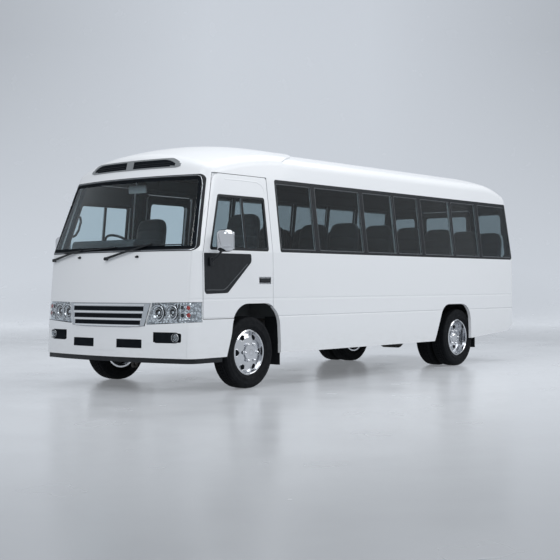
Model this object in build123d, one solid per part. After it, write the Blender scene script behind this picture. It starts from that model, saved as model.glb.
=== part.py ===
"""Minibus: a forward-control passenger bus on a ladder chassis with twin rear wheels.

Frame: +X forward, +Y to the bus's left, +Z up, origin on the ground at the middle of the
bounding box. Millimetres. Every sub-part is written to parts/NODE.step.
"""

from build123d import *
import functools
import math
import os

os.makedirs("parts", exist_ok=True)

# ---------------------------------------------------------------- driving dimensions
LENGTH = 6700
WHEELBASE = 4173
FRONT_OVERHANG = 1040
FRONT_AXLE = LENGTH / 2 - FRONT_OVERHANG
REAR_AXLE = FRONT_AXLE - WHEELBASE
ROOF_Z = 2572           # crown of the main roof
CAP_Z = 2590            # crown of the front roof cap, which stands proud of the roof
SILL_Z = 345
BUMPER_TOP_Z = 635
DOOR_FOOT_Z = 720
BELT_Z = 1390           # the sides lean in above this line
RAIN_Z = 2178           # joint between the sides and the roof
WALL = 40               # thickness of every wall, door and the roof
GAP = 6                 # shut line round a door
TYRE_R = 369
RIM_R = 234
TYRE_W = 205
FLOOR_Z = 740
FLOOR_T = 40


def ax(x):
    """X from a distance ahead of the front axle."""
    return FRONT_AXLE + x


def write(name, *solids):
    """Write one sub-part; several solids share a node when they do not touch."""
    shapes = []
    for item in solids:
        shapes += item.solids()
    whole = shapes[0] if len(shapes) == 1 else Compound(children=shapes)
    export_step(whole, f"parts/{name}.step")


def mirror_y(shape):
    return mirror(shape, about=Plane.XZ)


def outline(points, radii=None, grow=0):
    """Closed face through points, grown outward; radii rounds chosen corners by index."""
    face = make_face(Polyline(*points, close=True))
    if grow:
        face = offset(face, grow, kind=Kind.INTERSECTION)
    for index, radius in (radii or {}).items():
        x, y = points[index]
        corner = face.vertices().sort_by_distance((x, y, 0))[0]
        face = fillet(corner, max(radius + grow, 2))
    return face


def across(face, y0, y1):
    """Extrude a side-view face (x, z) from y0 to y1."""
    return Pos(0, y0, 0) * extrude(Plane.XZ * face, y1 - y0, dir=(0, 1, 0))


def along(face, x0, x1):
    """Extrude a front-view face (y, z) from x0 to x1."""
    return Pos(x0, 0, 0) * extrude(Plane.YZ * face, x1 - x0, dir=(1, 0, 0))


def up(face, z0, z1):
    """Extrude a plan face (x, y) from z0 to z1."""
    return Pos(0, 0, z0) * extrude(face, z1 - z0, dir=(0, 0, 1))


def block(x0, x1, y0, y1, z0, z1):
    return Pos((x0 + x1) / 2, (y0 + y1) / 2, (z0 + z1) / 2) * Box(x1 - x0, y1 - y0, z1 - z0)


def rod(start, end, radius):
    """Round bar from start to end."""
    start, end = Vector(*start), Vector(*end)
    run = end - start
    plane = Plane(origin=start, z_dir=run)
    return extrude(plane * Circle(radius), run.length)


# ---------------------------------------------------------------- body envelope
# Horizontal sections, bottom to top. front and rear are ahead of the front axle.
#   z     front  bow R  half width  corner R  rear    rear corner R
LEVELS = (
    (345, 1040, 4200, 1088, 120, -5640, 110),
    (640, 1030, 4200, 1088, 120, -5655, 110),
    (BELT_Z, 965, 4200, 1086, 130, -5655, 110),
    (RAIN_Z, 703, 3100, 993, 150, -5622, 130),
    (2700, 555, 2500, 930, 210, -5600, 170),
)
ROOF_BOW_R = 2700       # crown across the bus
CAP_START = -700        # the cap's crown falls ahead of here
CAP_FALL_R = 4700
TAIL_START = -4950      # the roof falls behind here
TAIL_FALL_R = 1750
SHOULDER_R = 140
CROWN_HALF = 1300


def section(level, inset):
    z, front, bow, half, corner, rear, rear_corner = level
    nose = ax(front) - inset
    half = half - inset
    tail = ax(rear) + inset
    bow = bow - inset
    shoulder = nose - (bow - math.sqrt(bow * bow - half * half))
    arc = ThreePointArc((shoulder, half), (nose, 0), (shoulder, -half))
    sides = Polyline((shoulder, -half), (tail, -half), (tail, half), (shoulder, half))
    face = make_face(arc + sides)
    fore = face.vertices().filter_by(lambda v: v.X > 0)
    face = fillet(fore, corner - inset * 0.8)
    aft = face.vertices().filter_by(lambda v: v.X < tail + 1)
    face = fillet(aft, rear_corner - inset * 0.8)
    return (Pos(0, 0, z) * face).face().outer_wire()


@functools.lru_cache(maxsize=None)
def tower(inset):
    """The walls, carried straight up past the roof."""
    levels = list(LEVELS)
    if inset > 0:
        levels[0] = (200,) + levels[0][1:]
    wires = [section(level, inset) for level in levels]
    solid = None
    for low, high in zip(wires, wires[1:]):
        piece = Solid.make_loft([low, high], ruled=True)
        solid = piece if solid is None else solid + piece
    return solid


def crown(top):
    """Everything under a roof that is bowed both ways."""
    drop = ROOF_BOW_R - math.sqrt(ROOF_BOW_R**2 - CROWN_HALF**2)

    def slice_at(x, foot):
        arc = ThreePointArc((-CROWN_HALF, top - drop), (0, top), (CROWN_HALF, top - drop))
        box = Polyline(
            (CROWN_HALF, top - drop), (CROWN_HALF, foot), (-CROWN_HALF, foot), (-CROWN_HALF, top - drop)
        )
        return (Pos(x, 0, 0) * (Plane.YZ * make_face(arc + box))).face()

    start, tail = ax(CAP_START), ax(TAIL_START)
    middle = extrude(slice_at(tail, 0), start - tail, dir=(1, 0, 0))
    front = revolve(slice_at(start, 0), Axis((start, 0, top - CAP_FALL_R), (0, 1, 0)), 35)
    back = revolve(slice_at(tail, 1400), Axis((tail, 0, top - TAIL_FALL_R), (0, 1, 0)), -60)
    under = block(tail - 2000, tail, -CROWN_HALF, CROWN_HALF, 0, 1750)
    return middle + front + back + under


def envelope(inset, top):
    """The bus's closed outer form, drawn in by inset."""
    body = (tower(inset) & crown(top - inset)).solid()
    edges = body.edges().filter_by(lambda e: e.bounding_box().min.Z > RAIN_Z + 22)
    edges = edges.filter_by(lambda e: e.bounding_box().size.X > 1 or e.bounding_box().size.Y < 1800)
    return fillet(edges, SHOULDER_R - 0.6 * max(inset, 0))


OUTER = envelope(0, ROOF_Z)
INNER = envelope(WALL, ROOF_Z)
CAP_OUTER = envelope(0, CAP_Z)


def plate(cutter, outer, inner):
    """The part of cutter between two depths below the outer surface."""
    return (cutter & tower(outer)) - tower(inner)


# ---------------------------------------------------------------- outlines in side view
SEAM = ((ax(750), 200), (ax(750), 1360), (ax(500), RAIN_Z), (ax(300), RAIN_Z))
REAR_SPLIT = ax(-5600)
DOOR_REAR = -325
BIG = 5000


def front_arch(grow=0):
    points = [(470, 150), (330, 560), (280, 862), (-420, 862), (-445, 460), (-445, 150)]
    return outline([(ax(x), z) for x, z in points], {1: 250, 2: 240, 3: 240}, grow)


def rear_arch():
    points = [(-3400, 150), (-3560, 420), (-3740, 805), (-4400, 805), (-4430, 460), (-4430, 150)]
    return outline([(ax(x), z) for x, z in points], {1: 200, 2: 200, 3: 220})


def door_outline(shrink, lean=0):
    """Cab door in side view; lean draws the top rear corner further in."""
    g = shrink
    points = [
        (ax(DOOR_REAR) + g, DOOR_FOOT_Z + g),
        (ax(750) - g, DOOR_FOOT_Z + g),
        (ax(750) - g, 1360),
        (ax(500) - g * 1.2, RAIN_Z - g),
        (ax(DOOR_REAR) + g + lean, RAIN_Z - g),
        (ax(DOOR_REAR) + g, BELT_Z),
    ]
    return outline(points, {3: 120, 4: 30})


def ahead_of_seam(gap=0):
    """Side-view face of all that lies ahead of the door's front edge."""
    points = [(x + gap, z) for x, z in SEAM]
    points += [(ax(300) + gap, RAIN_Z), (ax(2000), RAIN_Z), (ax(2000), 200)]
    return outline(points[:3] + points[5:])


# ---------------------------------------------------------------- body panels
SHELL = OUTER - INNER
CAP_SHELL = CAP_OUTER - INNER

# the cap meets the main roof on a line that bows to the rear
cap_plan = make_face(
    ThreePointArc((ax(-620), 960), (ax(-1370), 0), (ax(-620), -960))
    + Polyline((ax(-620), -960), (ax(-620), -1300), (ax(2000), -1300), (ax(2000), 1300),
               (ax(-620), 1300), (ax(-620), 960))
)
cap_zone = up(cap_plan, RAIN_Z, 3000)
roof_cap = (CAP_SHELL & cap_zone).solid()
roof_panel = ((SHELL & block(-BIG, BIG, -1300, 1300, RAIN_Z, 3000)) - cap_zone).solid()

# vent in the cap's brow
VENT_Z0, VENT_Z1, VENT_HALF = 2245, 2350, 610
vent_hole = along(
    outline([(-VENT_HALF, VENT_Z0), (VENT_HALF, VENT_Z0), (VENT_HALF - 90, VENT_Z1 - 20),
             (-VENT_HALF + 90, VENT_Z1 - 20)], {0: 25, 1: 25, 2: 35, 3: 35}),
    ax(300), ax(900))

tail_rise = across(
    outline([(ax(-4430), 150), (ax(-4430), 352), (ax(-5450), 418), (ax(-5610), 520), (ax(-5900), 560),
             (ax(-5900), 150)]), -1300, 1300)


def wall_panel(cutter):
    """Full-thickness piece of the walls."""
    return plate(cutter, 0, WALL)


SIDE_IN = 900          # the side walls start this far from the middle
nose_zone = across(ahead_of_seam(), -1300, 1300)
bumper_zone = nose_zone & block(0, BIG, -1300, 1300, SILL_Z, BUMPER_TOP_Z)
side_view = Plane.XY * outline([(REAR_SPLIT, SILL_Z), (ax(DOOR_REAR), SILL_Z), (ax(DOOR_REAR), RAIN_Z),
                                (REAR_SPLIT, RAIN_Z)])
side_cutter = across(side_view - front_arch() - rear_arch(), SIDE_IN, 1300) - tail_rise
fender_view = outline([(ax(DOOR_REAR), SILL_Z), (ax(750), SILL_Z), (ax(750), DOOR_FOOT_Z),
                       (ax(DOOR_REAR), DOOR_FOOT_Z)]) - front_arch()
fender_cutter = across(fender_view, 300, 1300)
left_wall = wall_panel(side_cutter).solid()
left_fender = wall_panel(fender_cutter).solids().sort_by(SortBy.VOLUME)[-1]
rear_cutter = block(-BIG, REAR_SPLIT, -1300, 1300, SILL_Z, RAIN_Z)
rear_cutter = rear_cutter + block(REAR_SPLIT, ax(-5560), -SIDE_IN, SIDE_IN, SILL_Z, RAIN_Z) - tail_rise

# cab door: an outer skin as wide as the opening and a narrower box behind it
DOOR_SKIN = 12
DOOR_STEP = 16
skin_core = tower(DOOR_SKIN)
trim_in = tower(25)


def wheel_gap(grow):
    """Front arch cutter for a door, larger than the arch in the wall by grow."""
    return across(front_arch(grow), -1300, 1300)


# door glass and the dark corner panel below it, in side view
door_glass = outline(
    [(ax(-260), 1402), (ax(648), 1402), (ax(462), 1962), (ax(-260), 1962)], {0: 30, 1: 20, 2: 40, 3: 30})
CORNER_PANEL = [(ax(26), 1371), (ax(20), 1290), (ax(385), 976), (ax(725), 968), (ax(733), 1371)]
CORNER_RADII = {0: 20, 1: 50, 2: 60, 3: 40, 4: 12}
door_glass_cut = across(door_glass, 300, 1300)
corner_cut = across(outline(CORNER_PANEL, CORNER_RADII), 300, 1300)
handle_cut = block(ax(-290), ax(-98), 1066, 1300, 1065, 1139)

openings = wheel_gap(6) + door_glass_cut + handle_cut
skin = plate(across(door_outline(GAP, 5), 300, 1300) - openings, 0, DOOR_SKIN)
liner = plate(across(door_outline(GAP + DOOR_STEP, 8), 300, 1300) - openings, DOOR_SKIN, WALL)
left_door = (skin + liner) - (corner_cut - tower(10))
left_door = left_door.solids().sort_by(SortBy.VOLUME)[-1]
door_window_frame = plate(across(
    outline([(ax(-259), 1403), (ax(647), 1403), (ax(461), 1961), (ax(-259), 1961)],
            {0: 30, 1: 20, 2: 40, 3: 30})
    - outline([(ax(-232), 1430), (ax(610), 1430), (ax(440), 1936), (ax(-232), 1936)],
              {0: 20, 1: 15, 2: 30, 3: 20}) + Pos(ax(100), 1682) * Rectangle(28, 530), 300, 1300), 0.5, 22).solid()
door_pane = plate(across(
    outline([(ax(-232), 1430), (ax(610), 1430), (ax(440), 1936), (ax(-232), 1936)],
            {0: 20, 1: 15, 2: 30, 3: 20}) - Pos(ax(100), 1682) * Rectangle(29, 532), 300, 1300), 7, 12)
corner_black = plate(across(outline(CORNER_PANEL, CORNER_RADII, -1), 300, 1300), 0.5, 9.5)
door_handle = block(ax(-284), ax(-104), 1068, 1084, 1080, 1124)

for side, flip in (("left", lambda s: s), ("right", mirror_y)):
    write(f"{side}_door", flip(left_door))
    write(f"{side}_door_frame", flip(door_window_frame), flip(corner_black), flip(door_handle))
    write(f"{side}_door_glass", *[flip(s) for s in door_pane.solids()])

# ---------------------------------------------------------------- side windows
BAND_Z0, BAND_Z1 = 1399, 2168
BAND_FRONT, BAND_REAR_TOP, BAND_REAR_FOOT = -450, -5530, -5590
PANE_Z0, PANE_Z1 = 1424, 2130
PILLARS = ((-1110, 58), (-2030, 58), (-2700, 24), (-3285, 58), (-4040, 24), (-4720, 58))  # x, width


def band_outline(front, grow=0):
    points = [(ax(front), BAND_Z0), (ax(BAND_REAR_FOOT), BAND_Z0), (ax(BAND_REAR_TOP), BAND_Z1),
              (ax(front), BAND_Z1)]
    return outline(points, {0: 20, 1: 70, 2: 25, 3: 20}, grow)


band = band_outline(BAND_FRONT)
panes = []
edges_x = [BAND_FRONT - 22] + [x for x, _ in PILLARS] + [BAND_REAR_TOP + 20]
widths = [0] + [w for _, w in PILLARS] + [0]
for i in range(len(edges_x) - 1):
    x1 = edges_x[i] - widths[i] / 2
    x0 = edges_x[i + 1] + widths[i + 1] / 2
    foot = x0 - 40 if i == len(edges_x) - 2 else x0
    pane = outline([(ax(foot), PANE_Z0), (ax(x1), PANE_Z0), (ax(x1), PANE_Z1), (ax(x0), PANE_Z1)])
    panes.append(fillet(pane.vertices(), 22 if i else 22))
window_cut = across(band_outline(BAND_FRONT, -14), 300, 1300) & trim_in
pillar_posts = []
for x, width in PILLARS:
    pillar_posts.append(block(ax(x) - 28, ax(x) + 28, 300, 1300, BAND_Z0, BAND_Z1))
band_cut = across(band, 300, 1300) - trim_in
post_union = pillar_posts[0]
for post in pillar_posts[1:]:
    post_union = post_union + post
pane_union = panes[0]
for pane in panes[1:]:
    pane_union = pane_union + pane
left_wall_open = (left_wall - band_cut - (window_cut - post_union)).solid()
band_frame = (plate(across(band_outline(BAND_FRONT, -1), 300, 1300), 0.5, 24.5) - across(pane_union, 300, 1300)).solid()
band_glass = [plate(across(pane, 300, 1300), 7, 12).solid() for pane in panes]
write("left_wall", left_wall_open)
write("front_fenders", left_fender, mirror_y(left_fender))

# right side: the same wall with the passengers' door in its first bay
ENTRY_FRONT, ENTRY_REAR, ENTRY_FOOT, ENTRY_TOP = -500, -1270, 400, 2120


def entry_outline(g, lean=0):
    points = [(ax(ENTRY_REAR) + g, ENTRY_FOOT + g), (ax(ENTRY_FRONT) - g, ENTRY_FOOT + g),
              (ax(ENTRY_FRONT) - g, ENTRY_TOP - g), (ax(ENTRY_REAR) + g + lean, ENTRY_TOP - g),
              (ax(ENTRY_REAR) + g, BELT_Z)]
    return outline(points, {0: 40, 1: 40, 2: 40, 3: 40})


entry_cut = across(entry_outline(0), -1300, -300)
right_band_front = ENTRY_REAR - 90
right_band = band_outline(right_band_front)
right_panes = [pane for pane in panes[1:]]
first = outline([(ax(-2030) + 29, PANE_Z0), (ax(right_band_front) - 22, PANE_Z0),
                 (ax(right_band_front) - 22, PANE_Z1), (ax(-2030) + 29, PANE_Z1)])
right_panes[0] = fillet(first.vertices(), 22)
right_union = right_panes[0]
for pane in right_panes[1:]:
    right_union = right_union + pane
right_cutter = mirror_y(side_cutter) - entry_cut
right_wall = wall_panel(right_cutter)
right_wall = right_wall - (across(right_band, -1300, -300) - trim_in)
right_wall = right_wall - ((across(band_outline(right_band_front, -14), -1300, -300) & trim_in) - mirror_y(post_union))
right_wall = right_wall.solids().sort_by(SortBy.VOLUME)[-1]
right_frame = (plate(across(band_outline(right_band_front, -1), -1300, -300), 0.5, 24.5)
               - across(right_union, -1300, -300)).solid()
right_glass = [plate(across(pane, -1300, -300), 7, 12).solid() for pane in right_panes]
write("right_wall", right_wall)
write("window_frames", band_frame, right_frame)

entry_skin = plate(across(entry_outline(7, 8), -1300, -300), 0, DOOR_SKIN)
entry_liner = plate(across(entry_outline(24, 8), -1300, -300), DOOR_SKIN, WALL)
ENTRY_WINDOW = [(ax(-1190), 800), (ax(-580), 800), (ax(-580), 2020), (ax(-1190), 2020)]
ROUND_60 = {0: 60, 1: 60, 2: 60, 3: 60}
entry_door = (entry_skin + entry_liner - across(outline(ENTRY_WINDOW, ROUND_60), -1300, -300)).solid()
entry_glass = plate(across(outline(ENTRY_WINDOW, ROUND_60, -1), -1300, -300), 7, 12).solid()
write("entry_door", entry_door)
write("entry_door_glass", entry_glass)

# ---------------------------------------------------------------- wheels
FRONT_TYRE_Y = 947
REAR_TYRE_Y = (944, 711)
REAR_TYRE_W = 200


def tyre(width, mid):
    """Tyre revolved about Y, centred on mid."""
    half = width / 2
    profile = [(RIM_R, -half + 18), (RIM_R + 40, -half + 2), (TYRE_R - 55, -half), (TYRE_R - 14, -half + 14),
               (TYRE_R, -half + 36), (TYRE_R, half - 36), (TYRE_R - 14, half - 14), (TYRE_R - 55, half),
               (RIM_R + 40, half - 2), (RIM_R, half - 18)]
    face = make_face(Plane.XY * Polyline(*profile, close=True))
    ring = revolve(face, Axis((0, 0, 0), (0, 1, 0)), 360)
    return Pos(0, mid, 0) * ring


def revolved(profile, mid):
    """Closed (radius, y) profile revolved about the wheel's axle."""
    face = make_face(Polyline(*profile, close=True))
    return Pos(0, mid, 0) * revolve(face, Axis((0, 0, 0), (0, 1, 0)), 360)


SPINDLE_R = 30
HUB_R = SPINDLE_R + 0.05
# left-hand front wheel: a shell whose disc bulges outward, y measured from the tyre's middle
FRONT_RIM = [(HUB_R, 0), (80, 0), (80, 50), (150, 40), (205, 10), (215, -60), (RIM_R - 18, -84),
             (RIM_R - 0.5, -84), (RIM_R - 0.5, 84), (RIM_R - 14, 92), (RIM_R - 22, 84), (205, 50),
             (150, 72), (95, 86), (90, 106), (60, 112), (HUB_R, 112)]
REAR_RIM = [(HUB_R, -70), (100, -70), (100, -30), (190, -34), (205, -60), (215, -80), (RIM_R - 18, -84),
            (RIM_R - 0.5, -84), (RIM_R - 0.5, 84), (RIM_R - 14, 92), (RIM_R - 22, 84), (212, 20),
            (205, -10), (120, -14), (95, 0), (90, 30), (60, 36), (HUB_R, 36)]
HAND_HOLES = 6


def wheel_holes(body, at_radius, hole_radius):
    for k in range(HAND_HOLES):
        angle = math.radians(60 * k)
        x, z = at_radius * math.cos(angle), at_radius * math.sin(angle)
        body = body - rod((x, -200, z), (x, 200, z), hole_radius)
    return body


front_rim = wheel_holes(revolved(FRONT_RIM, 0), 165, 24)
rear_outer = wheel_holes(revolved(REAR_RIM, 0), 150, 26)
INNER_RIM = [(110, -10), (190, -10), (205, -40), (215, -80), (RIM_R - 18, -84), (RIM_R - 0.5, -84),
             (RIM_R - 0.5, 84), (RIM_R - 14, 92), (RIM_R - 22, 84), (212, 40), (205, 10), (110, 10)]
inner_gap = REAR_TYRE_Y[0] - REAR_TYRE_Y[1]
drum = revolved([(HUB_R, -inner_gap - 60), (120, -inner_gap - 60), (120, -69), (HUB_R, -69)], 0)
rear_inner = Pos(0, -inner_gap, 0) * revolved(INNER_RIM, 0)
rear_set = (rear_outer + drum + rear_inner).solid()


def at_wheel(shape, x, y):
    return Pos(x, y, TYRE_R) * shape


front_tyre = tyre(TYRE_W, 0)
left = {
    "front_left_tyre": [at_wheel(front_tyre, FRONT_AXLE, FRONT_TYRE_Y)],
    "front_left_rim": [at_wheel(front_rim, FRONT_AXLE, FRONT_TYRE_Y)],
    "rear_left_tyres": [at_wheel(tyre(REAR_TYRE_W, 0), REAR_AXLE, y) for y in REAR_TYRE_Y],
    "rear_left_rims": [at_wheel(rear_set, REAR_AXLE, REAR_TYRE_Y[0])],
}
for name, shapes in left.items():
    write(name, *shapes)
    write(name.replace("left", "right"), *[mirror_y(shape) for shape in shapes])

# ---------------------------------------------------------------- axles and steering
KING_Y = 800            # kingpin, the steering axis of each front wheel
PIN_R = 18
BEAM_Z = 330


def knuckle():
    """Left steering knuckle: kingpin, two arms, stub axle and steering arm."""
    pin = rod((0, KING_Y, 250), (0, KING_Y, 470), PIN_R)
    upper = block(-38, 38, KING_Y - 40, KING_Y + 50, 450, 480)
    lower = block(-38, 38, KING_Y - 40, KING_Y + 50, 240, 270)
    cheek = block(-38, 38, KING_Y + 32, KING_Y + 60, 240, 480)
    stub = rod((0, KING_Y + 50, TYRE_R), (0, FRONT_TYRE_Y + 112, TYRE_R), SPINDLE_R)
    brake = rod((0, KING_Y + 60, TYRE_R), (0, FRONT_TYRE_Y - 6, TYRE_R), 70)
    arm = block(-190, -30, KING_Y - 20, KING_Y + 10, 245, 268)
    return pin + upper + lower + cheek + stub + brake + arm


left_knuckle = Pos(FRONT_AXLE, 0, 0) * knuckle()
beam = block(-40, 40, -700, 700, BEAM_Z - 40, BEAM_Z + 35)
for side in (1, -1):
    beam = beam + block(-34, 34, min(side * 690, side * 770), max(side * 690, side * 770), 300, 400)
    eye = rod((0, side * KING_Y, 276), (0, side * KING_Y, 444), 30)
    hole = rod((0, side * KING_Y, 200), (0, side * KING_Y, 500), PIN_R + 0.05)
    beam = beam + eye - hole
front_axle = Pos(FRONT_AXLE, 0, 0) * beam
rear_tube = rod((0, -560, TYRE_R), (0, 560, TYRE_R), 62)
rear_pumpkin = rod((0, -110, TYRE_R), (0, 110, TYRE_R), 165)
rear_nose = rod((60, 0, TYRE_R), (260, 0, TYRE_R), 70)
rear_stub = rod((0, -REAR_TYRE_Y[0] - 36, TYRE_R), (0, REAR_TYRE_Y[0] + 36, TYRE_R), SPINDLE_R)
rear_axle = Pos(REAR_AXLE, 0, 0) * (rear_tube + rear_pumpkin + rear_nose + rear_stub)
write("left_knuckle", left_knuckle)
write("right_knuckle", mirror_y(left_knuckle))
write("axles", front_axle, rear_axle)


def leaf_spring(x, y, seat_z):
    """Leaf spring: an arc of flat leaves clamped on its axle."""
    span, rise, thick = 620, 90, 36
    arc = make_face(
        ThreePointArc((-span, rise + thick), (0, thick), (span, rise + thick))
        + Line((span, rise + thick), (span, rise))
        + ThreePointArc((span, rise), (0, 0), (-span, rise))
        + Line((-span, rise), (-span, rise + thick)))
    return Pos(x, 0, seat_z) * across(arc, y - 35, y + 35)


front_springs = [leaf_spring(FRONT_AXLE, y, BEAM_Z + 35) for y in (-390, 390)]
rear_springs = [leaf_spring(REAR_AXLE, y, TYRE_R + 62) for y in (-485, 485)]
write("leaf_springs", *front_springs, *rear_springs)

# ---------------------------------------------------------------- chassis
TOW_BORE_R = 20         # towing eyes
RAIL_Y0, RAIL_Y1 = 355, 425
RAIL_Z0, RAIL_Z1 = 505, 650
RAIL_FRONT, RAIL_REAR = ax(850), ax(-5480)
CROSS_X = (820, -700, -1500, -2500, -3450, -4750, -5420)
BEARER_X = (690, -1330, -1800, -2600, -3300, -4900, -5400)
rails = [block(RAIL_REAR, RAIL_FRONT, y0, y1, RAIL_Z0, RAIL_Z1)
         for y0, y1 in ((RAIL_Y0, RAIL_Y1), (-RAIL_Y1, -RAIL_Y0))]
write("chassis_rails", *rails)
members = [block(ax(x) - 30, ax(x) + 30, -RAIL_Y0, RAIL_Y0, RAIL_Z0 + 15, RAIL_Z1 - 15) for x in CROSS_X]
bearers = [block(ax(x) - 25, ax(x) + 25, -1040, 1040, RAIL_Z1, FLOOR_Z - FLOOR_T) for x in BEARER_X]
TOW_FRONT = (912, 270)  # ahead of the front axle, height
TOW_REAR = (-5528, 434)


def tow_plate(points, eye, rounded):
    """Upright plate with a towing eye through it."""
    plate_solid = across(outline([(ax(x), z) for x, z in points], rounded), 290, 310)
    x, z = eye
    return plate_solid - rod((ax(x), 250, z), (ax(x), 350, z), TOW_BORE_R)


front_tow = tow_plate([(790, 635), (850, 635), (945, 296), (945, 236), (880, 236), (790, 520)],
                      TOW_FRONT, {3: 25, 4: 25})
rear_tow = tow_plate([(-5450, 635), (-5390, 635), (-5390, 520), (-5500, 400), (-5562, 400), (-5562, 465)],
                     TOW_REAR, {3: 25, 4: 25, 5: 25})
members[0] = (members[0] + front_tow).solid()
members[-1] = (members[-1] + rear_tow).solid()
write("cross_members", *members, *bearers)

floor_plan = up(Plane.XY * make_face(Polyline((ax(700), -1040), (ax(700), 1040), (ax(-5600), 1040),
                                              (ax(-5600), -1040), close=True)), FLOOR_Z - FLOOR_T, FLOOR_Z)
fore_floor = block(ax(690), ax(800), -1000, 1000, FLOOR_Z - FLOOR_T, FLOOR_Z)
floor = (floor_plan & tower(WALL + 1)) + fore_floor
TUNNEL = (ax(-450), ax(540), 330, 1010)     # engine cover: x0, x1, half width, top


WHEEL_BOXES = ((ax(-10), 500, 590, 905), (REAR_AXLE, 470, 560, 860))    # middle x, half length, inner y, top
BOX_WALL = 20


def hollow_box(x0, x1, y0, y1, top, open_side):
    """Box let into the floor, open below and, for a wheel, on its outer side."""
    cut_y0 = y0 + BOX_WALL
    cut_y1 = y1 + BOX_WALL if open_side else y1 - BOX_WALL
    inside = block(x0 + BOX_WALL, x1 - BOX_WALL, cut_y0, cut_y1, 0, top - BOX_WALL)
    return block(x0, x1, y0, y1, FLOOR_Z - FLOOR_T, top) - inside


floor_boxes = []
for x_mid, half, inner_y, top in WHEEL_BOXES:
    box = hollow_box(x_mid - half, x_mid + half, inner_y, 1045, top, True)
    footprint = block(x_mid - half, x_mid + half, inner_y, 1100, 0, 2000)
    floor_boxes += [box, mirror_y(box)]
    floor = floor - footprint - mirror_y(footprint)
x0, x1, half, top = TUNNEL
floor_boxes.append(hollow_box(x0, x1, -half, half, top, False))
floor = floor - block(x0, x1, -half, half, 0, 2000)
STEP_X = (ax(ENTRY_REAR) + 20, ax(ENTRY_FRONT) - 20)
floor = floor - block(*STEP_X, -1100, -740, 0, 2000)
step_tread = block(*STEP_X, -1040, -740, 400, 425)
step_riser = block(*STEP_X, -760, -740, 400, FLOOR_Z)
floor_boxes.append(step_tread + step_riser)
write("floor_pan", floor.solids().sort_by(SortBy.VOLUME)[-1])
write("floor_boxes", *floor_boxes)

write("engine", block(ax(-400), ax(500), -280, 280, 430, 960))
fuel_tank = fillet(block(ax(-2950), ax(-2050), 470, 900, 380, 645).edges().filter_by(Axis.X), 50)
write("fuel_tank", fuel_tank)
shaft = rod((ax(-404), 0, 460), (REAR_AXLE + 264, 0, TYRE_R + 6), 38)
write("propeller_shaft", shaft)
pipe = rod((ax(-450), -230, 420), (ax(-3100), -230, 420), 28)
silencer = rod((ax(-1900), -230, 420), (ax(-2600), -230, 420), 80)
write("exhaust", pipe + silencer)

# ---------------------------------------------------------------- front end
lamp_points = [(605, 885), (1300, 897), (1300, 708), (545, 668)]
lamp_front = block(ax(0), ax(757), -1300, 1300, 0, 3000)


def lamp_zone(grow, x_back):
    face = outline(lamp_points, {0: 12, 3: 12}, grow)
    zone = along(face, ax(600), ax(1300)) - block(ax(-2000), ax(x_back), -1300, 1300, 0, 3000)
    return zone


grille_points = [(-593, 882), (593, 882), (535, 655), (300, 642), (-300, 642), (-535, 655)]
grille_zone = along(outline(grille_points), ax(700), ax(1300))
screen_points = [(-1073, 1389), (1073, 1389), (953, 2160), (-953, 2160)]
SCREEN_ROUND = {0: 55, 1: 55, 2: 75, 3: 75}
screen_cut = along(outline(screen_points, SCREEN_ROUND), ax(200), ax(1300))
left_lamp_cut = lamp_zone(0, 758)
nose_cutter = (nose_zone & block(0, BIG, -1300, 1300, BUMPER_TOP_Z, RAIN_Z)) - screen_cut - grille_zone
nose_panel = wall_panel(nose_cutter - left_lamp_cut - mirror_y(left_lamp_cut)).solid()
write("nose_panel", nose_panel)

screen_glass = plate(along(outline(screen_points, SCREEN_ROUND, -23), ax(200), ax(1300)), 4, 10).solid()
screen_ring = outline(screen_points, SCREEN_ROUND, -0.5) - outline(screen_points, SCREEN_ROUND, -22.5)
screen_seal = plate(along(screen_ring, ax(200), ax(1300)) & across(ahead_of_seam(8), -1300, 1300), -3, 20).solid()
write("windscreen", screen_glass)
write("windscreen_seal", screen_seal)

left_lens = plate(lamp_zone(-1, 759), 0.5, 5).solid()
left_housing = plate(lamp_zone(-1, 759), 14, 70).solid()
write("headlamp_lenses", left_lens, mirror_y(left_lens))
write("headlamp_housings", left_housing, mirror_y(left_housing))

grille_slots = []
slot_rows = ((-510, 510, 832, 862), (-498, 498, 772, 805), (-480, 480, 710, 745))
grille_frame = plate(along(outline(grille_points, None, -1), ax(700), ax(1300)), -6, 24).solid()
for y0, y1, z0, z1 in slot_rows:
    slot = along(outline([(y0, z0), (y1, z0), (y1, z1), (y0, z1)], {0: 10, 1: 10, 2: 10, 3: 10}),
                 ax(700), ax(1300))
    grille_frame = grille_frame - slot
grille_back = plate(along(outline([(-545, 875), (545, 875), (500, 680), (-500, 680)]), ax(700), ax(1300)), 26, 36)
write("grille", grille_frame.solid())

fog_points = [(560, 500), (600, 585), (960, 590), (960, 500)]
slot_points = [(175, 440), (190, 520), (440, 520), (500, 440)]
fog_cut = along(outline(fog_points, {0: 18, 1: 18, 2: 18, 3: 18}), ax(600), ax(1300))
slot_cut = along(outline(slot_points, {0: 15, 1: 15, 2: 15, 3: 15}), ax(600), ax(1300))
bumper_cutter = bumper_zone
for cut in (fog_cut, slot_cut):
    bumper_cutter = bumper_cutter - cut - mirror_y(cut)
write("front_bumper", wall_panel(bumper_cutter).solid())
fog_back = plate(along(outline(fog_points, {0: 18, 1: 18, 2: 18, 3: 18}, -1), ax(600), ax(1300)), 30, 39).solid()
slot_back = plate(along(outline(slot_points, {0: 15, 1: 15, 2: 15, 3: 15}, -1), ax(600), ax(1300)), 30, 39).solid()
fog_lamp = rod((ax(918), 895, 545), (ax(948), 895, 545), 36)
write("front_inserts", grille_back.solid(), fog_back, slot_back, mirror_y(fog_back), mirror_y(slot_back))
write("fog_lamps", fog_lamp, mirror_y(fog_lamp))
lip = block(ax(462), ax(1300), -1300, 1300, 296, SILL_Z)
valance = plate(lip, 10, 60)
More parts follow.
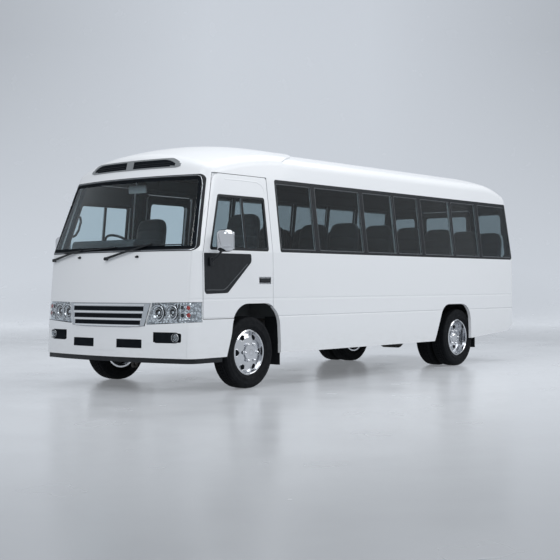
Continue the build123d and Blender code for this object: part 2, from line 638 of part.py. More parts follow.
write("lower_valance", *valance.solids())

# ---------------------------------------------------------------- roof
vent_cap = roof_cap - vent_hole
write("roof_cap", vent_cap.solids().sort_by(SortBy.VOLUME)[-1])
write("roof_panel", roof_panel)
vent_ring = outline([(-VENT_HALF + 1, VENT_Z0 + 1), (VENT_HALF - 1, VENT_Z0 + 1), (VENT_HALF - 91, VENT_Z1 - 21),
                     (-VENT_HALF + 91, VENT_Z1 - 21)], {0: 25, 1: 25, 2: 35, 3: 35})
vent_core = CAP_OUTER & along(vent_ring, ax(300), ax(900))
vent_core = vent_core - INNER
left_louvre = outline([(60, VENT_Z0 + 22), (VENT_HALF - 50, VENT_Z0 + 22), (VENT_HALF - 120, VENT_Z1 - 42),
                       (60, VENT_Z1 - 42)], {0: 15, 1: 15, 2: 20, 3: 15})
louvre_cut = along(left_louvre, ax(300), ax(900)) - tower(30)
vent = vent_core - louvre_cut - mirror_y(louvre_cut)
write("roof_vent", vent.solid())

# ---------------------------------------------------------------- rear end
REAR_DOOR = [(-430, 760), (430, 760), (430, 2120), (-430, 2120)]
REAR_DOOR_ROUND = {0: 60, 1: 60, 2: 60, 3: 60}
REAR_GLASS = [(-350, 1440), (350, 1440), (350, 2040), (-350, 2040)]
REAR_SIDE_GLASS = [(520, 1440), (960, 1440), (890, 2040), (520, 2040)]
LAMP_PROUD = 5
TAIL_LAMP = [(840, 760), (1030, 760), (1030, 1040), (840, 1040)]


def rearward(face):
    return along(face, ax(-6000), ax(-5500))


door_open = rearward(outline(REAR_DOOR, REAR_DOOR_ROUND))
side_glass_cut = rearward(outline(REAR_SIDE_GLASS, REAR_DOOR_ROUND))
lamp_cut = rearward(outline(TAIL_LAMP, {0: 20, 1: 20, 2: 20, 3: 20})) - tower(25)
rear_fixed = wall_panel(rear_cutter - door_open - side_glass_cut - mirror_y(side_glass_cut))
rear_fixed = rear_fixed - lamp_cut - mirror_y(lamp_cut)
write("rear_wall", rear_fixed.solids().sort_by(SortBy.VOLUME)[-1])
rear_skin = plate(rearward(outline(REAR_DOOR, REAR_DOOR_ROUND, -7)), 0, 12)
rear_liner = plate(rearward(outline(REAR_DOOR, REAR_DOOR_ROUND, -22)), 12, 40)
rear_door = (rear_skin + rear_liner) - rearward(outline(REAR_GLASS, REAR_DOOR_ROUND))
write("rear_door", rear_door.solid())
rear_pane = plate(rearward(outline(REAR_GLASS, REAR_DOOR_ROUND, -0.5)), 4, 9).solid()
write("rear_door_glass", rear_pane)
quarter = plate(rearward(outline(REAR_SIDE_GLASS, REAR_DOOR_ROUND, -0.5)), 4, 9).solid()
write("window_glass", *band_glass, *right_glass, quarter, mirror_y(quarter))
lamp = plate(rearward(outline(TAIL_LAMP, {0: 20, 1: 20, 2: 20, 3: 20}, -1)), -LAMP_PROUD, 24).solid()
write("tail_lamps", lamp, mirror_y(lamp))

# ---------------------------------------------------------------- cab and cabin
DASH_X0, DASH_X1 = ax(520), ax(850)
dash_side = outline([(ax(560), 820), (ax(820), 820), (ax(860), 1240), (ax(840), 1330), (ax(700), 1345),
                     (ax(560), 1230)], {3: 40, 4: 40, 5: 30})
dash = across(dash_side, -930, 930)
binnacle = across(outline([(ax(560), 1200), (ax(760), 1200), (ax(720), 1530), (ax(600), 1530)],
                          {2: 50, 3: 50}), -850, 100)
write("dashboard", ((dash + binnacle) & tower(44)).solid())
DRIVER_Y = -500
column_foot = (ax(540), DRIVER_Y, 1000)
column_head = (ax(320), DRIVER_Y, 1440)
wheel_plane = Plane(origin=column_head, z_dir=Vector(*column_head) - Vector(*column_foot))
rim = wheel_plane * Torus(205, 15)
hub = extrude(wheel_plane * Circle(48), 30, both=True)
spokes = extrude(wheel_plane * Rectangle(400, 34), 8, both=True)
column = rod((ax(452), DRIVER_Y, 1176), column_head, 24)
write("steering_wheel", (rim + hub + spokes + column).solid())


def seat(x, y, base_z, width, back_top):
    """High-backed seat facing forward: cushion, back and head rest on a pedestal."""
    cushion = fillet(block(x - 220, x + 230, y - width / 2, y + width / 2, base_z + 180, base_z + 300)
                     .edges(), 35)
    back = outline([(x - 230, base_z + 260), (x - 130, base_z + 260), (x - 230, back_top), (x - 330, back_top)],
                   {2: 30, 3: 30})
    back = across(back, y - width / 2, y + width / 2)
    legs = block(x - 160, x + 170, y - width / 2 + 60, y + width / 2 - 60, base_z, base_z + 190)
    return (cushion + back + legs).solid()


cab_seats = [seat(ax(-60), y, 905, 440, 1820) for y in (-DRIVER_Y + 190, DRIVER_Y - 190)]
write("cab_seats", *cab_seats)
ROWS = (-1750, -2450, -3150, -3850, -4550, -5200)
rows = []
for x in ROWS:
    for y in (-780, -330, 330, 780):
        floor_z = 860 if abs(x + WHEELBASE) < 700 and abs(y) > 500 else FLOOR_Z
        rows.append(seat(ax(x), y, floor_z, 410, 1790))
write("passenger_seats", *rows)

# ---------------------------------------------------------------- fittings outside
def strip(start, end, width0, width1):
    """Front-view (y, z) outline of a straight bar that tapers from width0 to width1."""
    (y0, z0), (y1, z1) = start, end
    run = math.hypot(y1 - y0, z1 - z0)
    across_y, across_z = -(z1 - z0) / run / 2, (y1 - y0) / run / 2
    return outline([(y0 + across_y * width0, z0 + across_z * width0), (y0 - across_y * width0, z0 - across_z * width0),
                    (y1 - across_y * width1, z1 - across_z * width1), (y1 + across_y * width1, z1 + across_z * width1)])


def wiper(pivot, elbow, blade_start, blade_end):
    """Wiper parked low on the windscreen: spindle cap, tapering arm and blade, as (y, z) points."""
    cap = plate(along(Pos(*pivot) * Circle(17), ax(600), ax(1300)), -36, 0)
    arm = plate(along(strip(pivot, elbow, 24, 11), ax(600), ax(1300)), -34, -21)
    blade = plate(along(strip(blade_start, blade_end, 14, 10), ax(600), ax(1300)), -22, -4)
    return (cap + arm + blade).solid()


write("wipers",
      wiper((-968, 1326), (-430, 1424), (-760, 1402), (85, 1441)),
      wiper((-29, 1326), (570, 1464), (322, 1450), (909, 1452)))

mirror_head = fillet(block(ax(395), ax(520), 1150, 1290, 1385, 1600).edges(), 32)
mirror_arm = rod((ax(600), 1102, 1290), (ax(560), 1150, 1330), 12) + rod(
    (ax(560), 1150, 1330), (ax(470), 1200, 1400), 12)
mirror_foot = block(ax(570), ax(630), 1087.6, 1112, 1250, 1330)
left_mirror = (mirror_head + mirror_arm + mirror_foot).solid()
write("left_mirror", left_mirror)
write("right_mirror", mirror_y(left_mirror))

flaps = []
for x, z in ((ax(-478), 215), (REAR_AXLE - 425, 220)):
    flap = block(x - 8, x, 840, 1040, z, 720 if x > 0 else 640)
    flaps += [flap, mirror_y(flap)]
write("mud_flaps", *flaps)
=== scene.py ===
"""Minibus: the finish of every panel, and the modelled tyres, wheels, seats, lamps and fittings.

Metres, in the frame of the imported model: +X forward, +Y to the bus's left, +Z up.
"""

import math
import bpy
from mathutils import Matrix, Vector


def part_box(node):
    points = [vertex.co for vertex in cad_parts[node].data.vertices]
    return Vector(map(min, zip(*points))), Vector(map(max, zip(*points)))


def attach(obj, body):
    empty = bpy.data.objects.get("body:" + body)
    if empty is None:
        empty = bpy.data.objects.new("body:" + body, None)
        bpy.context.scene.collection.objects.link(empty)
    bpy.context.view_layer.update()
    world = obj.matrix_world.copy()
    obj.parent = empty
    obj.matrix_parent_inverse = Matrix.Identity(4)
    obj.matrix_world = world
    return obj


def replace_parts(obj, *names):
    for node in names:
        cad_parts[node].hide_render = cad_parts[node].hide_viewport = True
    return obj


bl_info = {
    "name": "Minibus dressing",
    "version": (1, 0, 0),
    "blender": (4, 5, 0),
    "location": "View3D > Sidebar > Minibus",
    "description": "Dresses the minibus frame with finishes, tyres, wheels, seats, lamps and fittings",
    "category": "Object",
}

import bmesh
import bpy
from bpy.props import FloatProperty, FloatVectorProperty, IntProperty, PointerProperty
from mathutils import Euler, Matrix, Vector
from mathutils.bvhtree import BVHTree

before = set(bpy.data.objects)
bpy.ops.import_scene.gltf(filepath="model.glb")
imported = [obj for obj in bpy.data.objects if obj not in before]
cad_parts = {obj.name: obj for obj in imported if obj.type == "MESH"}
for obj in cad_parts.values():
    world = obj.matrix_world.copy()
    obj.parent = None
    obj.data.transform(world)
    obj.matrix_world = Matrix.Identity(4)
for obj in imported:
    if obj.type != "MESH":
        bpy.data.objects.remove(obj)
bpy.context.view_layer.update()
BODY = "bus_body"
AHEAD = 2.310           # the front axle's x
SIDES = (("left", 1), ("right", -1))
TAU = 2 * math.pi


# ---------------------------------------------------------------- sizes and colours a user would change
def colour_setting(**given):
    return FloatVectorProperty(subtype="COLOR", size=3, min=0, max=1, **given)


def length_setting(**given):
    return FloatProperty(unit="LENGTH", **given)


class MinibusPaint(bpy.types.PropertyGroup):
    """Colours of the panels, trim, seats, lining and glass"""
    body: colour_setting(name="Body", description="Colour of the painted panels", default=(0.80, 0.82, 0.84))
    trim: colour_setting(name="Trim", description="Colour of the black plastic and rubber",
                         default=(0.0065, 0.0085, 0.0110))
    fabric: colour_setting(name="Fabric", description="Colour of the seat covers",
                           default=(0.012, 0.018, 0.024))
    lining: colour_setting(name="Lining", description="Colour of the cabin's lining",
                           default=(0.020, 0.033, 0.042))
    side_glass: colour_setting(name="Side glass", description="Tint of the side and rear windows",
                               default=(0.42, 0.48, 0.50))
    door_glass: colour_setting(name="Door glass", description="Tint of the door windows",
                               default=(0.62, 0.70, 0.73))
    screen_glass: colour_setting(name="Windscreen", description="Tint of the windscreen",
                                 default=(0.88, 0.97, 1.0))


class MinibusTyres(bpy.types.PropertyGroup):
    """The tread"""
    blocks: IntProperty(name="Blocks", description="Tread blocks round each tyre", default=64, min=24,
                        max=120)
    groove: length_setting(name="Groove", description="Depth of the tread", default=0.008, min=0.003,
                           max=0.015)
    gap: length_setting(name="Gap", description="Width of the gaps between blocks", default=0.006, min=0.002,
                        max=0.012)


class MinibusWheels(bpy.types.PropertyGroup):
    """The wheel nuts"""
    nuts: IntProperty(name="Nuts", description="Nuts on each wheel", default=6, min=4, max=10)
    nut_circle: length_setting(name="Nut circle", description="Radius of the circle of nuts", default=0.092,
                               min=0.05, max=0.14)
    nut_width: length_setting(name="Nut width", description="Width of a nut across its corners",
                              default=0.034, min=0.02, max=0.05)


class MinibusSeats(bpy.types.PropertyGroup):
    """The seat pads"""
    crown: length_setting(name="Crown", description="How far the middle of a cushion stands above its edge",
                          default=0.018, min=0, max=0.05)
    channel: length_setting(name="Channel", description="Depth of the sewn channels", default=0.006, min=0,
                            max=0.02)


class MinibusStage(bpy.types.PropertyGroup):
    """The lights and the floor"""
    key: FloatProperty(name="Key light", description="Power of the large overhead light", default=320, min=0,
                       unit="POWER")
    side: FloatProperty(name="Side light", description="Power of the long light beside the bus", default=300,
                        min=0, unit="POWER")
    glow: FloatProperty(name="Floor glow", description="Light given off by the floor and backdrop itself",
                        default=0.40, min=0, max=2)
    floor: colour_setting(name="Floor", description="Colour of the floor", default=(0.395, 0.412, 0.434))


# ---------------------------------------------------------------- node materials
def maths_node(tree, operation, a, b=None):
    """Maths node of a tree: each of a and b is a number or another node's output."""
    made = tree.nodes.new("ShaderNodeMath")
    made.operation = operation
    for socket, value in zip(made.inputs, (a, b)):
        if isinstance(value, (int, float)):
            socket.default_value = value
        elif value is not None:
            tree.links.new(value, socket)
    return made.outputs[0]


class Finish:
    """A node material: a Principled shader and the nodes that feed it."""

    def __init__(self, name, colour, roughness=0.5, metallic=0.0):
        self.material = bpy.data.materials.new(name)
        self.material.use_nodes = True
        self.tree = self.material.node_tree
        self.shader = self.tree.nodes["Principled BSDF"]
        self.output = self.tree.nodes["Material Output"]
        self.coords = self.tree.nodes.new("ShaderNodeTexCoord").outputs["Object"]
        self.height = None
        self.colour = colour
        self.set("Base Color", (*colour, 1))
        self.set("Roughness", roughness)
        self.set("Metallic", metallic)
        self.material.diffuse_color = (*colour, 1)

    def set(self, socket, value):
        self.shader.inputs[socket].default_value = value
        return self

    def node(self, kind, **values):
        made = self.tree.nodes.new(kind)
        for key, value in values.items():
            if hasattr(made, key):
                setattr(made, key, value)
            else:
                made.inputs[key.replace("_", " ")].default_value = value
        return made

    def link(self, source, target):
        self.tree.links.new(source, target)

    def stretched(self, scale):
        """Object coordinates scaled along each axis."""
        mapping = self.node("ShaderNodeMapping")
        mapping.inputs["Scale"].default_value = scale
        self.link(self.coords, mapping.inputs["Vector"])
        return mapping.outputs["Vector"]

    def noise(self, scale, detail=3.0, stretch=(1, 1, 1)):
        made = self.node("ShaderNodeTexNoise", Scale=scale, Detail=detail)
        self.link(self.stretched(stretch), made.inputs["Vector"])
        return made.outputs["Fac"]

    def cells(self, scale, stretch=(1, 1, 1)):
        made = self.node("ShaderNodeTexVoronoi", Scale=scale)
        self.link(self.stretched(stretch), made.inputs["Vector"])
        return made.outputs["Distance"]

    def waves(self, scale, direction="X", distortion=0.0, stretch=(1, 1, 1)):
        made = self.node("ShaderNodeTexWave", Scale=scale, Distortion=distortion, bands_direction=direction)
        self.link(self.stretched(stretch), made.inputs["Vector"])
        return made.outputs["Fac"]

    def spread(self, value, low, high, new_low, new_high):
        """value mapped from low..high to new_low..new_high, clamped."""
        made = self.node("ShaderNodeMapRange")
        ends = {"From Min": low, "From Max": high, "To Min": new_low, "To Max": new_high}
        for socket, number in ends.items():
            made.inputs[socket].default_value = number
        self.link(value, made.inputs["Value"])
        return made.outputs["Result"]

    def axis(self, name):
        split = self.node("ShaderNodeSeparateXYZ")
        self.link(self.coords, split.inputs["Vector"])
        return split.outputs[name]

    def maths(self, operation, a, b=None):
        return maths_node(self.tree, operation, a, b)

    def tint(self, factor, other):
        """Blend the base colour towards other by factor."""
        mix = self.node("ShaderNodeMix", data_type="RGBA")
        base = self.shader.inputs["Base Color"]
        if base.is_linked:
            self.link(base.links[0].from_socket, mix.inputs[6])
        else:
            mix.inputs[6].default_value = (*self.colour, 1)
        mix.inputs[7].default_value = (*other, 1)
        self.link(factor, mix.inputs[0])
        self.link(mix.outputs[2], base)
        return self

    def stain(self, pattern, low, high, share, other):
        """Blend the base colour by up to share towards other, as pattern goes from low to high."""
        return self.tint(self.spread(pattern, low, high, 0.0, share), other)

    def rough(self, factor, low, high):
        self.link(self.spread(factor, 0.3, 0.7, low, high), self.shader.inputs["Roughness"])
        return self

    def bump(self, height, distance, strength=1.0):
        """Add a layer of relief, in metres."""
        made = self.node("ShaderNodeBump", Strength=strength, Distance=distance)
        self.link(height, made.inputs["Height"])
        if self.height is not None:
            self.link(self.height, made.inputs["Normal"])
        self.height = made.outputs["Normal"]
        self.link(self.height, self.shader.inputs["Normal"])
        return self


def shade(colour, factor):
    """A lighter or darker colour."""
    return tuple(min(1.0, c * factor) for c in colour)


# lines pressed in the sides: height, half width, share of the depth
CREASES = ((0.917, 0.016, 0.5), (0.729, 0.011, 1.0))
CREASE_FROM_Y = 1.02            # the front and back of the body, further in, have none
CREASE_DEPTH = 0.0045


def body_paint():
    """White gloss enamel with a clear coat, darker in patches towards the bottom."""
    colour = tuple(bpy.context.scene.minibus_paint.body)
    f = Finish("body_paint", colour, 0.32)
    f.set("Coat Weight", 0.35).set("Coat Roughness", 0.08).set("Specular IOR Level", 0.34)
    cloud = f.noise(1.7, 4.0)
    f.stain(cloud, 0.35, 0.7, 0.08, shade(colour, 0.96))
    # a warm grey tint, darker in patches towards the bottom
    low = f.spread(f.axis("Z"), 0.62, 0.32, 0.0, 1.0)
    low_darkening = f.maths("MULTIPLY", low, f.spread(f.noise(9.0, 6.0, (1, 1, 2.5)), 0.42, 0.72, 0.02, 0.14))
    f.tint(low_darkening, (0.50, 0.49, 0.46))
    f.rough(f.noise(6.0, 5.0), 0.28, 0.34)
    f.bump(f.noise(2.2, 1.0), 0.0010, 0.06)
    beyond = f.maths("GREATER_THAN", f.maths("ABSOLUTE", f.axis("Y")), CREASE_FROM_Y)
    for z, width, strength in CREASES:
        near = f.maths("ABSOLUTE", f.maths("SUBTRACT", f.axis("Z"), z))
        f.bump(f.maths("MULTIPLY", f.spread(near, 0.0, width, 0.0, 1.0), beyond), CREASE_DEPTH, strength)
    return f.material


GLASS_IOR = 1.27                # low, so that both faces of a pane together mirror as little as one real one


def glass(name, colour):
    """Tinted glass that lets lamp light through to the cabin."""
    f = Finish(name, colour, 0.0)
    f.set("Transmission Weight", 1.0).set("IOR", GLASS_IOR).set("Coat Weight", 0.0)
    f.link(f.spread(f.noise(2.5, 5.0), 0.45, 0.75, 0.0, 0.02), f.shader.inputs["Roughness"])
    f.bump(f.noise(1.3, 1.0), 0.0012, 0.08)
    path = f.node("ShaderNodeLightPath")
    clear = f.node("ShaderNodeBsdfTransparent")
    clear.inputs["Color"].default_value = (*colour, 1)
    mix = f.node("ShaderNodeMixShader")
    f.link(path.outputs["Is Shadow Ray"], mix.inputs[0])
    f.link(f.shader.outputs[0], mix.inputs[1])
    f.link(clear.outputs[0], mix.inputs[2])
    f.link(mix.outputs[0], f.output.inputs["Surface"])
    return f.material


def black_plastic(name="black_trim", grain=900.0, roughness=0.42, shine=0.30):
    """Moulded satin black plastic or rubber with a fine grain."""
    colour = tuple(bpy.context.scene.minibus_paint.trim)
    f = Finish(name, colour, roughness)
    f.set("Specular IOR Level", shine)
    f.stain(f.noise(22.0, 5.0), 0.4, 0.75, 0.35, shade(colour, 2.0))
    f.rough(f.noise(14.0, 4.0), roughness - 0.06, roughness + 0.14)
    f.bump(f.cells(grain), 0.0003, 0.35)
    return f.material


def rubber():
    """Tyre rubber, greyed by dust on the walls."""
    f = Finish("tyre_rubber", (0.0035, 0.0045, 0.0062), 0.72)
    f.set("Specular IOR Level", 0.18)
    f.stain(f.noise(11.0, 6.0), 0.42, 0.75, 0.4, (0.010, 0.011, 0.013))
    f.rough(f.noise(30.0, 4.0), 0.62, 0.86)
    f.bump(f.noise(700.0, 2.0), 0.0003, 0.4)
    return f.material


def chrome(name="chrome", colour=(0.60, 0.615, 0.64), roughness=0.10):
    """Plated metal with fine water marks."""
    f = Finish(name, colour, roughness, 1.0)
    f.stain(f.noise(9.0, 4.0), 0.5, 0.8, 0.2, shade(colour, 0.78))
    f.rough(f.noise(12.0, 4.0), roughness, roughness + 0.05)
    f.bump(f.noise(4.0, 1.0), 0.0006, 0.05)
    return f.material


def chassis_paint():
    """Satin black chassis enamel under road film."""
    f = Finish("chassis_paint", (0.018, 0.018, 0.019), 0.55)
    f.stain(f.noise(8.0, 8.0), 0.42, 0.7, 0.75, (0.085, 0.075, 0.062))
    f.rough(f.noise(18.0, 5.0), 0.45, 0.85)
    f.bump(f.noise(160.0, 5.0), 0.0009, 0.5)
    return f.material


def cast_iron():
    """Rough engine castings, browned by oil and rust."""
    f = Finish("cast_metal", (0.11, 0.11, 0.115), 0.6, 0.6)
    f.stain(f.noise(12.0, 7.0), 0.45, 0.75, 0.7, (0.10, 0.07, 0.045))
    f.rough(f.noise(30.0, 5.0), 0.5, 0.85)
    f.bump(f.noise(320.0, 4.0), 0.0012, 0.6)
    return f.material


def bare_steel():
    """Exhaust steel with heat tint and rust spots."""
    f = Finish("steel", (0.30, 0.28, 0.26), 0.42, 0.9)
    f.stain(f.noise(7.0, 8.0), 0.48, 0.7, 0.85, (0.17, 0.085, 0.04))
    f.rough(f.noise(24.0, 5.0), 0.35, 0.8)
    f.bump(f.noise(240.0, 5.0), 0.0008, 0.5)
    return f.material


def seat_fabric():
    """Woven moquette with a fleck."""
    colour = tuple(bpy.context.scene.minibus_paint.fabric)
    f = Finish("seat_fabric", colour, 0.92)
    f.set("Sheen Weight", 0.35).set("Sheen Roughness", 0.5)
    f.stain(f.cells(95.0), 0.12, 0.03, 0.8, shade(colour, 2.6))
    f.stain(f.noise(3.5, 4.0), 0.45, 0.7, 0.35, shade(colour, 0.6))
    warp = f.waves(210.0, "X")
    weft = f.waves(210.0, "Z")
    f.bump(f.maths("MULTIPLY", warp, weft), 0.0009, 0.8)
    f.bump(f.noise(60.0, 3.0), 0.0015, 0.3)
    return f.material


def cab_plastic(name="cab_plastic", colour=(0.018, 0.026, 0.032)):
    """Grained soft-feel plastic."""
    f = Finish(name, colour, 0.62)
    f.stain(f.noise(4.0, 5.0), 0.4, 0.7, 0.4, shade(colour, 0.7))
    f.rough(f.noise(40.0, 3.0), 0.52, 0.74)
    f.bump(f.cells(520.0), 0.0006, 0.5)
    return f.material


def lining_cloth():
    """Perforated lining of the walls and roof."""
    colour = tuple(bpy.context.scene.minibus_paint.lining)
    f = Finish("cabin_lining", colour, 0.85)
    f.stain(f.noise(2.0, 4.0), 0.4, 0.7, 0.3, shade(colour, 0.75))
    f.rough(f.noise(30.0, 3.0), 0.75, 0.95)
    f.bump(f.cells(140.0), 0.0008, 0.5)
    return f.material


def lamp_silver():
    """Vacuum-metallised reflector."""
    f = Finish("lamp_silver", (0.66, 0.69, 0.72), 0.12, 1.0)
    f.stain(f.cells(38.0), 0.25, 0.65, 0.7, (0.15, 0.165, 0.185))
    f.rough(f.noise(20.0, 3.0), 0.10, 0.16)
    f.bump(f.noise(25.0, 2.0), 0.0006, 0.15)
    return f.material


def lamp_glass(name, colour):
    """Coloured lamp plastic with optic ribs behind its face."""
    f = Finish(name, colour, 0.14)
    f.set("Transmission Weight", 0.35).set("Coat Weight", 0.6).set("Coat Roughness", 0.03)
    f.stain(f.waves(22.0, "Z"), 0.2, 0.8, 0.35, shade(colour, 0.45))
    f.bump(f.waves(22.0, "Z"), 0.0012, 0.4)
    f.rough(f.noise(50.0, 3.0), 0.10, 0.20)
    return f.material


def mirror_glass():
    """Silvered glass, hardly wavy."""
    f = Finish("mirror_glass", (0.86, 0.88, 0.90), 0.02, 1.0)
    f.rough(f.noise(12.0, 4.0), 0.01, 0.05)
    f.bump(f.noise(3.0, 1.0), 0.0006, 0.06)
    return f.material


def vent_grey():
    """Mid-grey moulded surround of the roof vent."""
    f = Finish("vent_grey", (0.21, 0.225, 0.235), 0.42)
    f.stain(f.noise(9.0, 5.0), 0.4, 0.7, 0.3, (0.15, 0.16, 0.17))
    f.rough(f.noise(30.0, 3.0), 0.36, 0.52)
    f.bump(f.cells(700.0), 0.0003, 0.3)
    return f.material


def edge_grey():
    """Dark grey moulding, lighter than the black trim: on the beads and sashes a painted highlight along an
    edge.
    """
    f = Finish("edge_grey", (0.085, 0.095, 0.105), 0.35)
    f.stain(f.noise(18.0, 4.0), 0.4, 0.7, 0.3, (0.05, 0.056, 0.062))
    f.rough(f.noise(30.0, 3.0), 0.28, 0.42)
    f.bump(f.cells(800.0), 0.0002, 0.3)
    return f.material


def floor_vinyl():
    """Ribbed and speckled floor covering."""
    f = Finish("floor_vinyl", (0.075, 0.082, 0.086), 0.55)
    f.stain(f.cells(60.0), 0.10, 0.02, 0.5, (0.19, 0.20, 0.20))
    f.rough(f.noise(12.0, 5.0), 0.42, 0.7)
    f.bump(f.waves(60.0, "Y"), 0.0012, 0.5)
    return f.material


MAKERS = {
    "body_paint": body_paint, "black_trim": black_plastic, "tyre_rubber": rubber, "chrome": chrome,
    "chassis_paint": chassis_paint, "cast_metal": cast_iron, "steel": bare_steel,
    "seat_fabric": seat_fabric, "cab_plastic": cab_plastic, "lamp_silver": lamp_silver,
    "lining": lining_cloth, "mirror_glass": mirror_glass, "vent_grey": vent_grey,
    "floor_vinyl": floor_vinyl, "edge_grey": edge_grey,
    "clear_lens": lambda: glass("clear_lens", (0.95, 0.97, 0.98)),
    "tinted_glass": lambda: glass("tinted_glass", tuple(bpy.context.scene.minibus_paint.side_glass)),
    "door_glass": lambda: glass("door_glass", tuple(bpy.context.scene.minibus_paint.door_glass)),
    "screen_glass": lambda: glass("screen_glass", tuple(bpy.context.scene.minibus_paint.screen_glass)),
    "red_lens": lambda: lamp_glass("red_lens", (0.42, 0.008, 0.006)),
    "amber_lens": lambda: lamp_glass("amber_lens", (0.75, 0.20, 0.01)),
    "white_lens": lambda: lamp_glass("white_lens", (0.72, 0.74, 0.76)),
    "satin_silver": lambda: chrome("satin_silver", (0.50, 0.53, 0.56), 0.20),
    "bright_silver": lambda: chrome("bright_silver", (0.80, 0.82, 0.84), 0.16),
    "flap_rubber": lambda: black_plastic("flap_rubber", 260.0, 0.6),
    "flat_black": lambda: black_plastic("flat_black", 400.0, 0.85, 0.06),
}
FINISHES = {}


def finish(name):
    """One shared material for each finish, made on first use."""
    if name not in FINISHES:
        FINISHES[name] = MAKERS[name]()
    return FINISHES[name]


# ---------------------------------------------------------------- mesh helpers
def piece(name, shape, material, slot=None, body=BODY, smooth=40):
    """Add a finished shape (bmesh or mesh) to the scene, riding on a body."""
    mesh = to_mesh(name, shape) if isinstance(shape, bmesh.types.BMesh) else shape
    made = bpy.data.objects.new(name, mesh)
    bpy.context.scene.collection.objects.link(made)
    if material:
        mesh.materials.clear()
        mesh.materials.append(finish(material))
    mesh.polygons.foreach_set("use_smooth", [True] * len(mesh.polygons))
    mesh.set_sharp_from_angle(angle=math.radians(smooth))
    if body:
        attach(made, body)
    return made


def to_mesh(name, bm, material=None):
    """Turn a bmesh into a mesh whose faces point outwards."""
    bmesh.ops.recalc_face_normals(bm, faces=bm.faces)
    mesh = bpy.data.meshes.new(name)
    bm.to_mesh(mesh)
    bm.free()
    if material:
        mesh.materials.append(finish(material))
    return mesh


def settle(obj):
    """Turn an object's modifiers into plain mesh."""
    graph = bpy.context.evaluated_depsgraph_get()
    mesh = bpy.data.meshes.new_from_object(obj.evaluated_get(graph))
    obj.modifiers.clear()
    old = obj.data
    obj.data = mesh
    bpy.data.meshes.remove(old)
    return obj


def bridge(bm, here, there):
    """Band of faces between two closed rings."""
    for k in range(len(here)):
        n = (k + 1) % len(here)
        bm.faces.new((here[k], here[n], there[n], there[k]))


def closed_grid(bm, fronts, backs):
    """Thin solid between two grids of points, given as columns."""
    across, tall = len(fronts) - 1, len(fronts[0]) - 1
    for i in range(across):
        for layer in (fronts, backs):
            for k in range(tall):
                bm.faces.new((layer[i][k], layer[i + 1][k], layer[i + 1][k + 1], layer[i][k + 1]))
        for k in (0, tall):
            bm.faces.new((fronts[i][k], fronts[i + 1][k], backs[i + 1][k], backs[i][k]))
    for k in range(tall):
        for i in (0, across):
            bm.faces.new((fronts[i][k], fronts[i][k + 1], backs[i][k + 1], backs[i][k]))


def lathe(bm, profile, centre, segments):
    """Revolve a closed outline of (radius, y) points about the Y axis through centre."""
    rings = []
    for k in range(segments):
        a = TAU * k / segments
        ring = [bm.verts.new((centre[0] + r * math.sin(a), centre[1] + y, centre[2] + r * math.cos(a)))
                for r, y in profile]
        rings.append(ring)
    for k in range(segments):
        bridge(bm, rings[k], rings[(k + 1) % segments])


def slab(bm, lo, hi, bevel=0.0, segments=2):
    """Box between two corners, its edges rounded by bevel."""
    size = Vector(hi) - Vector(lo)
    middle = (Vector(hi) + Vector(lo)) / 2
    made = bmesh.ops.create_cube(bm, size=1)["verts"]
    for v in made:
        v.co = Vector((v.co.x * size.x, v.co.y * size.y, v.co.z * size.z)) + middle
    if bevel:
        edges = list(dict.fromkeys(e for v in made for e in v.link_edges))
        bmesh.ops.bevel(bm, geom=edges, offset=bevel, segments=segments, affect="EDGES", profile=0.5)


def tube(bm, points, radius, sides=8, closed=False):
    """Round bar through points, its ends capped."""
    points = [Vector(p) for p in points]
    count = len(points)
    angles = [TAU * k / sides for k in range(sides)]
    rings = []
    up = Vector((0, 0, 1))
    for i, p in enumerate(points):
        before = points[i - 1] if (i or closed) else p
        after = points[(i + 1) % count] if (i < count - 1 or closed) else p
        run = (after - before).normalized()
        side = run.cross(up)
        if side.length < 1e-3:
            side = run.cross(Vector((1, 0, 0)))
        side.normalize()
        over = side.cross(run)
        rings.append([bm.verts.new(p + radius * (math.cos(a) * side + math.sin(a) * over)) for a in angles])
    for i in range(count if closed else count - 1):
        bridge(bm, rings[i], rings[(i + 1) % count])
    if not closed:
        bm.faces.new(rings[0])
        bm.faces.new(list(reversed(rings[-1])))


def merged_copy(node):
    """A welded bmesh of a CAD node."""
    bm = bmesh.new()
    bm.from_mesh(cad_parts[node].data)
    bmesh.ops.remove_doubles(bm, verts=bm.verts, dist=1e-5)
    return bm


def solids_of(node):
    """(lowest, highest) corner of each separate solid of a CAD node."""
    bm = merged_copy(node)
    left, boxes = set(bm.verts), []
    while left:
        stack, island = [left.pop()], []
        while stack:
            v = stack.pop()
            island.append(v.co.copy())
            for e in v.link_edges:
                other = e.other_vert(v)
                if other in left:
                    left.remove(other)
                    stack.append(other)
        lo = Vector([min(c[k] for c in island) for k in range(3)])
        hi = Vector([max(c[k] for c in island) for k in range(3)])
        boxes.append((lo, hi))
    bm.free()
    return sorted(boxes, key=lambda b: (round(b[0].x, 3), round(b[0].y, 3), b[0].z))


def turned(bm, profile, origin, axis, segments=32):
    """Revolve closed (radius, height) points about an axis; points at radius 0 meet in a pole."""
    axis = Vector(axis).normalized()
    side = axis.orthogonal().normalized()
    over = axis.cross(side)
    origin = Vector(origin)
    rings = []
    for r, h in profile:
        if r < 1e-7:
            rings.append([bm.verts.new(origin + axis * h)])
        else:
            rings.append([bm.verts.new(origin + axis * h + r * (math.cos(TAU * k / segments) * side
                                                               + math.sin(TAU * k / segments) * over))
                          for k in range(segments)])
    for i, here in enumerate(rings):
        there = rings[(i + 1) % len(rings)]
        if len(here) == 1 and len(there) == 1:
            continue
        if len(here) == len(there):
            bridge(bm, here, there)
            continue
        for k in range(segments):
            n = (k + 1) % segments
            if len(here) == 1:
                bm.faces.new((here[0], there[n], there[k]))
            elif len(there) == 1:
                bm.faces.new((here[k], here[n], there[0]))


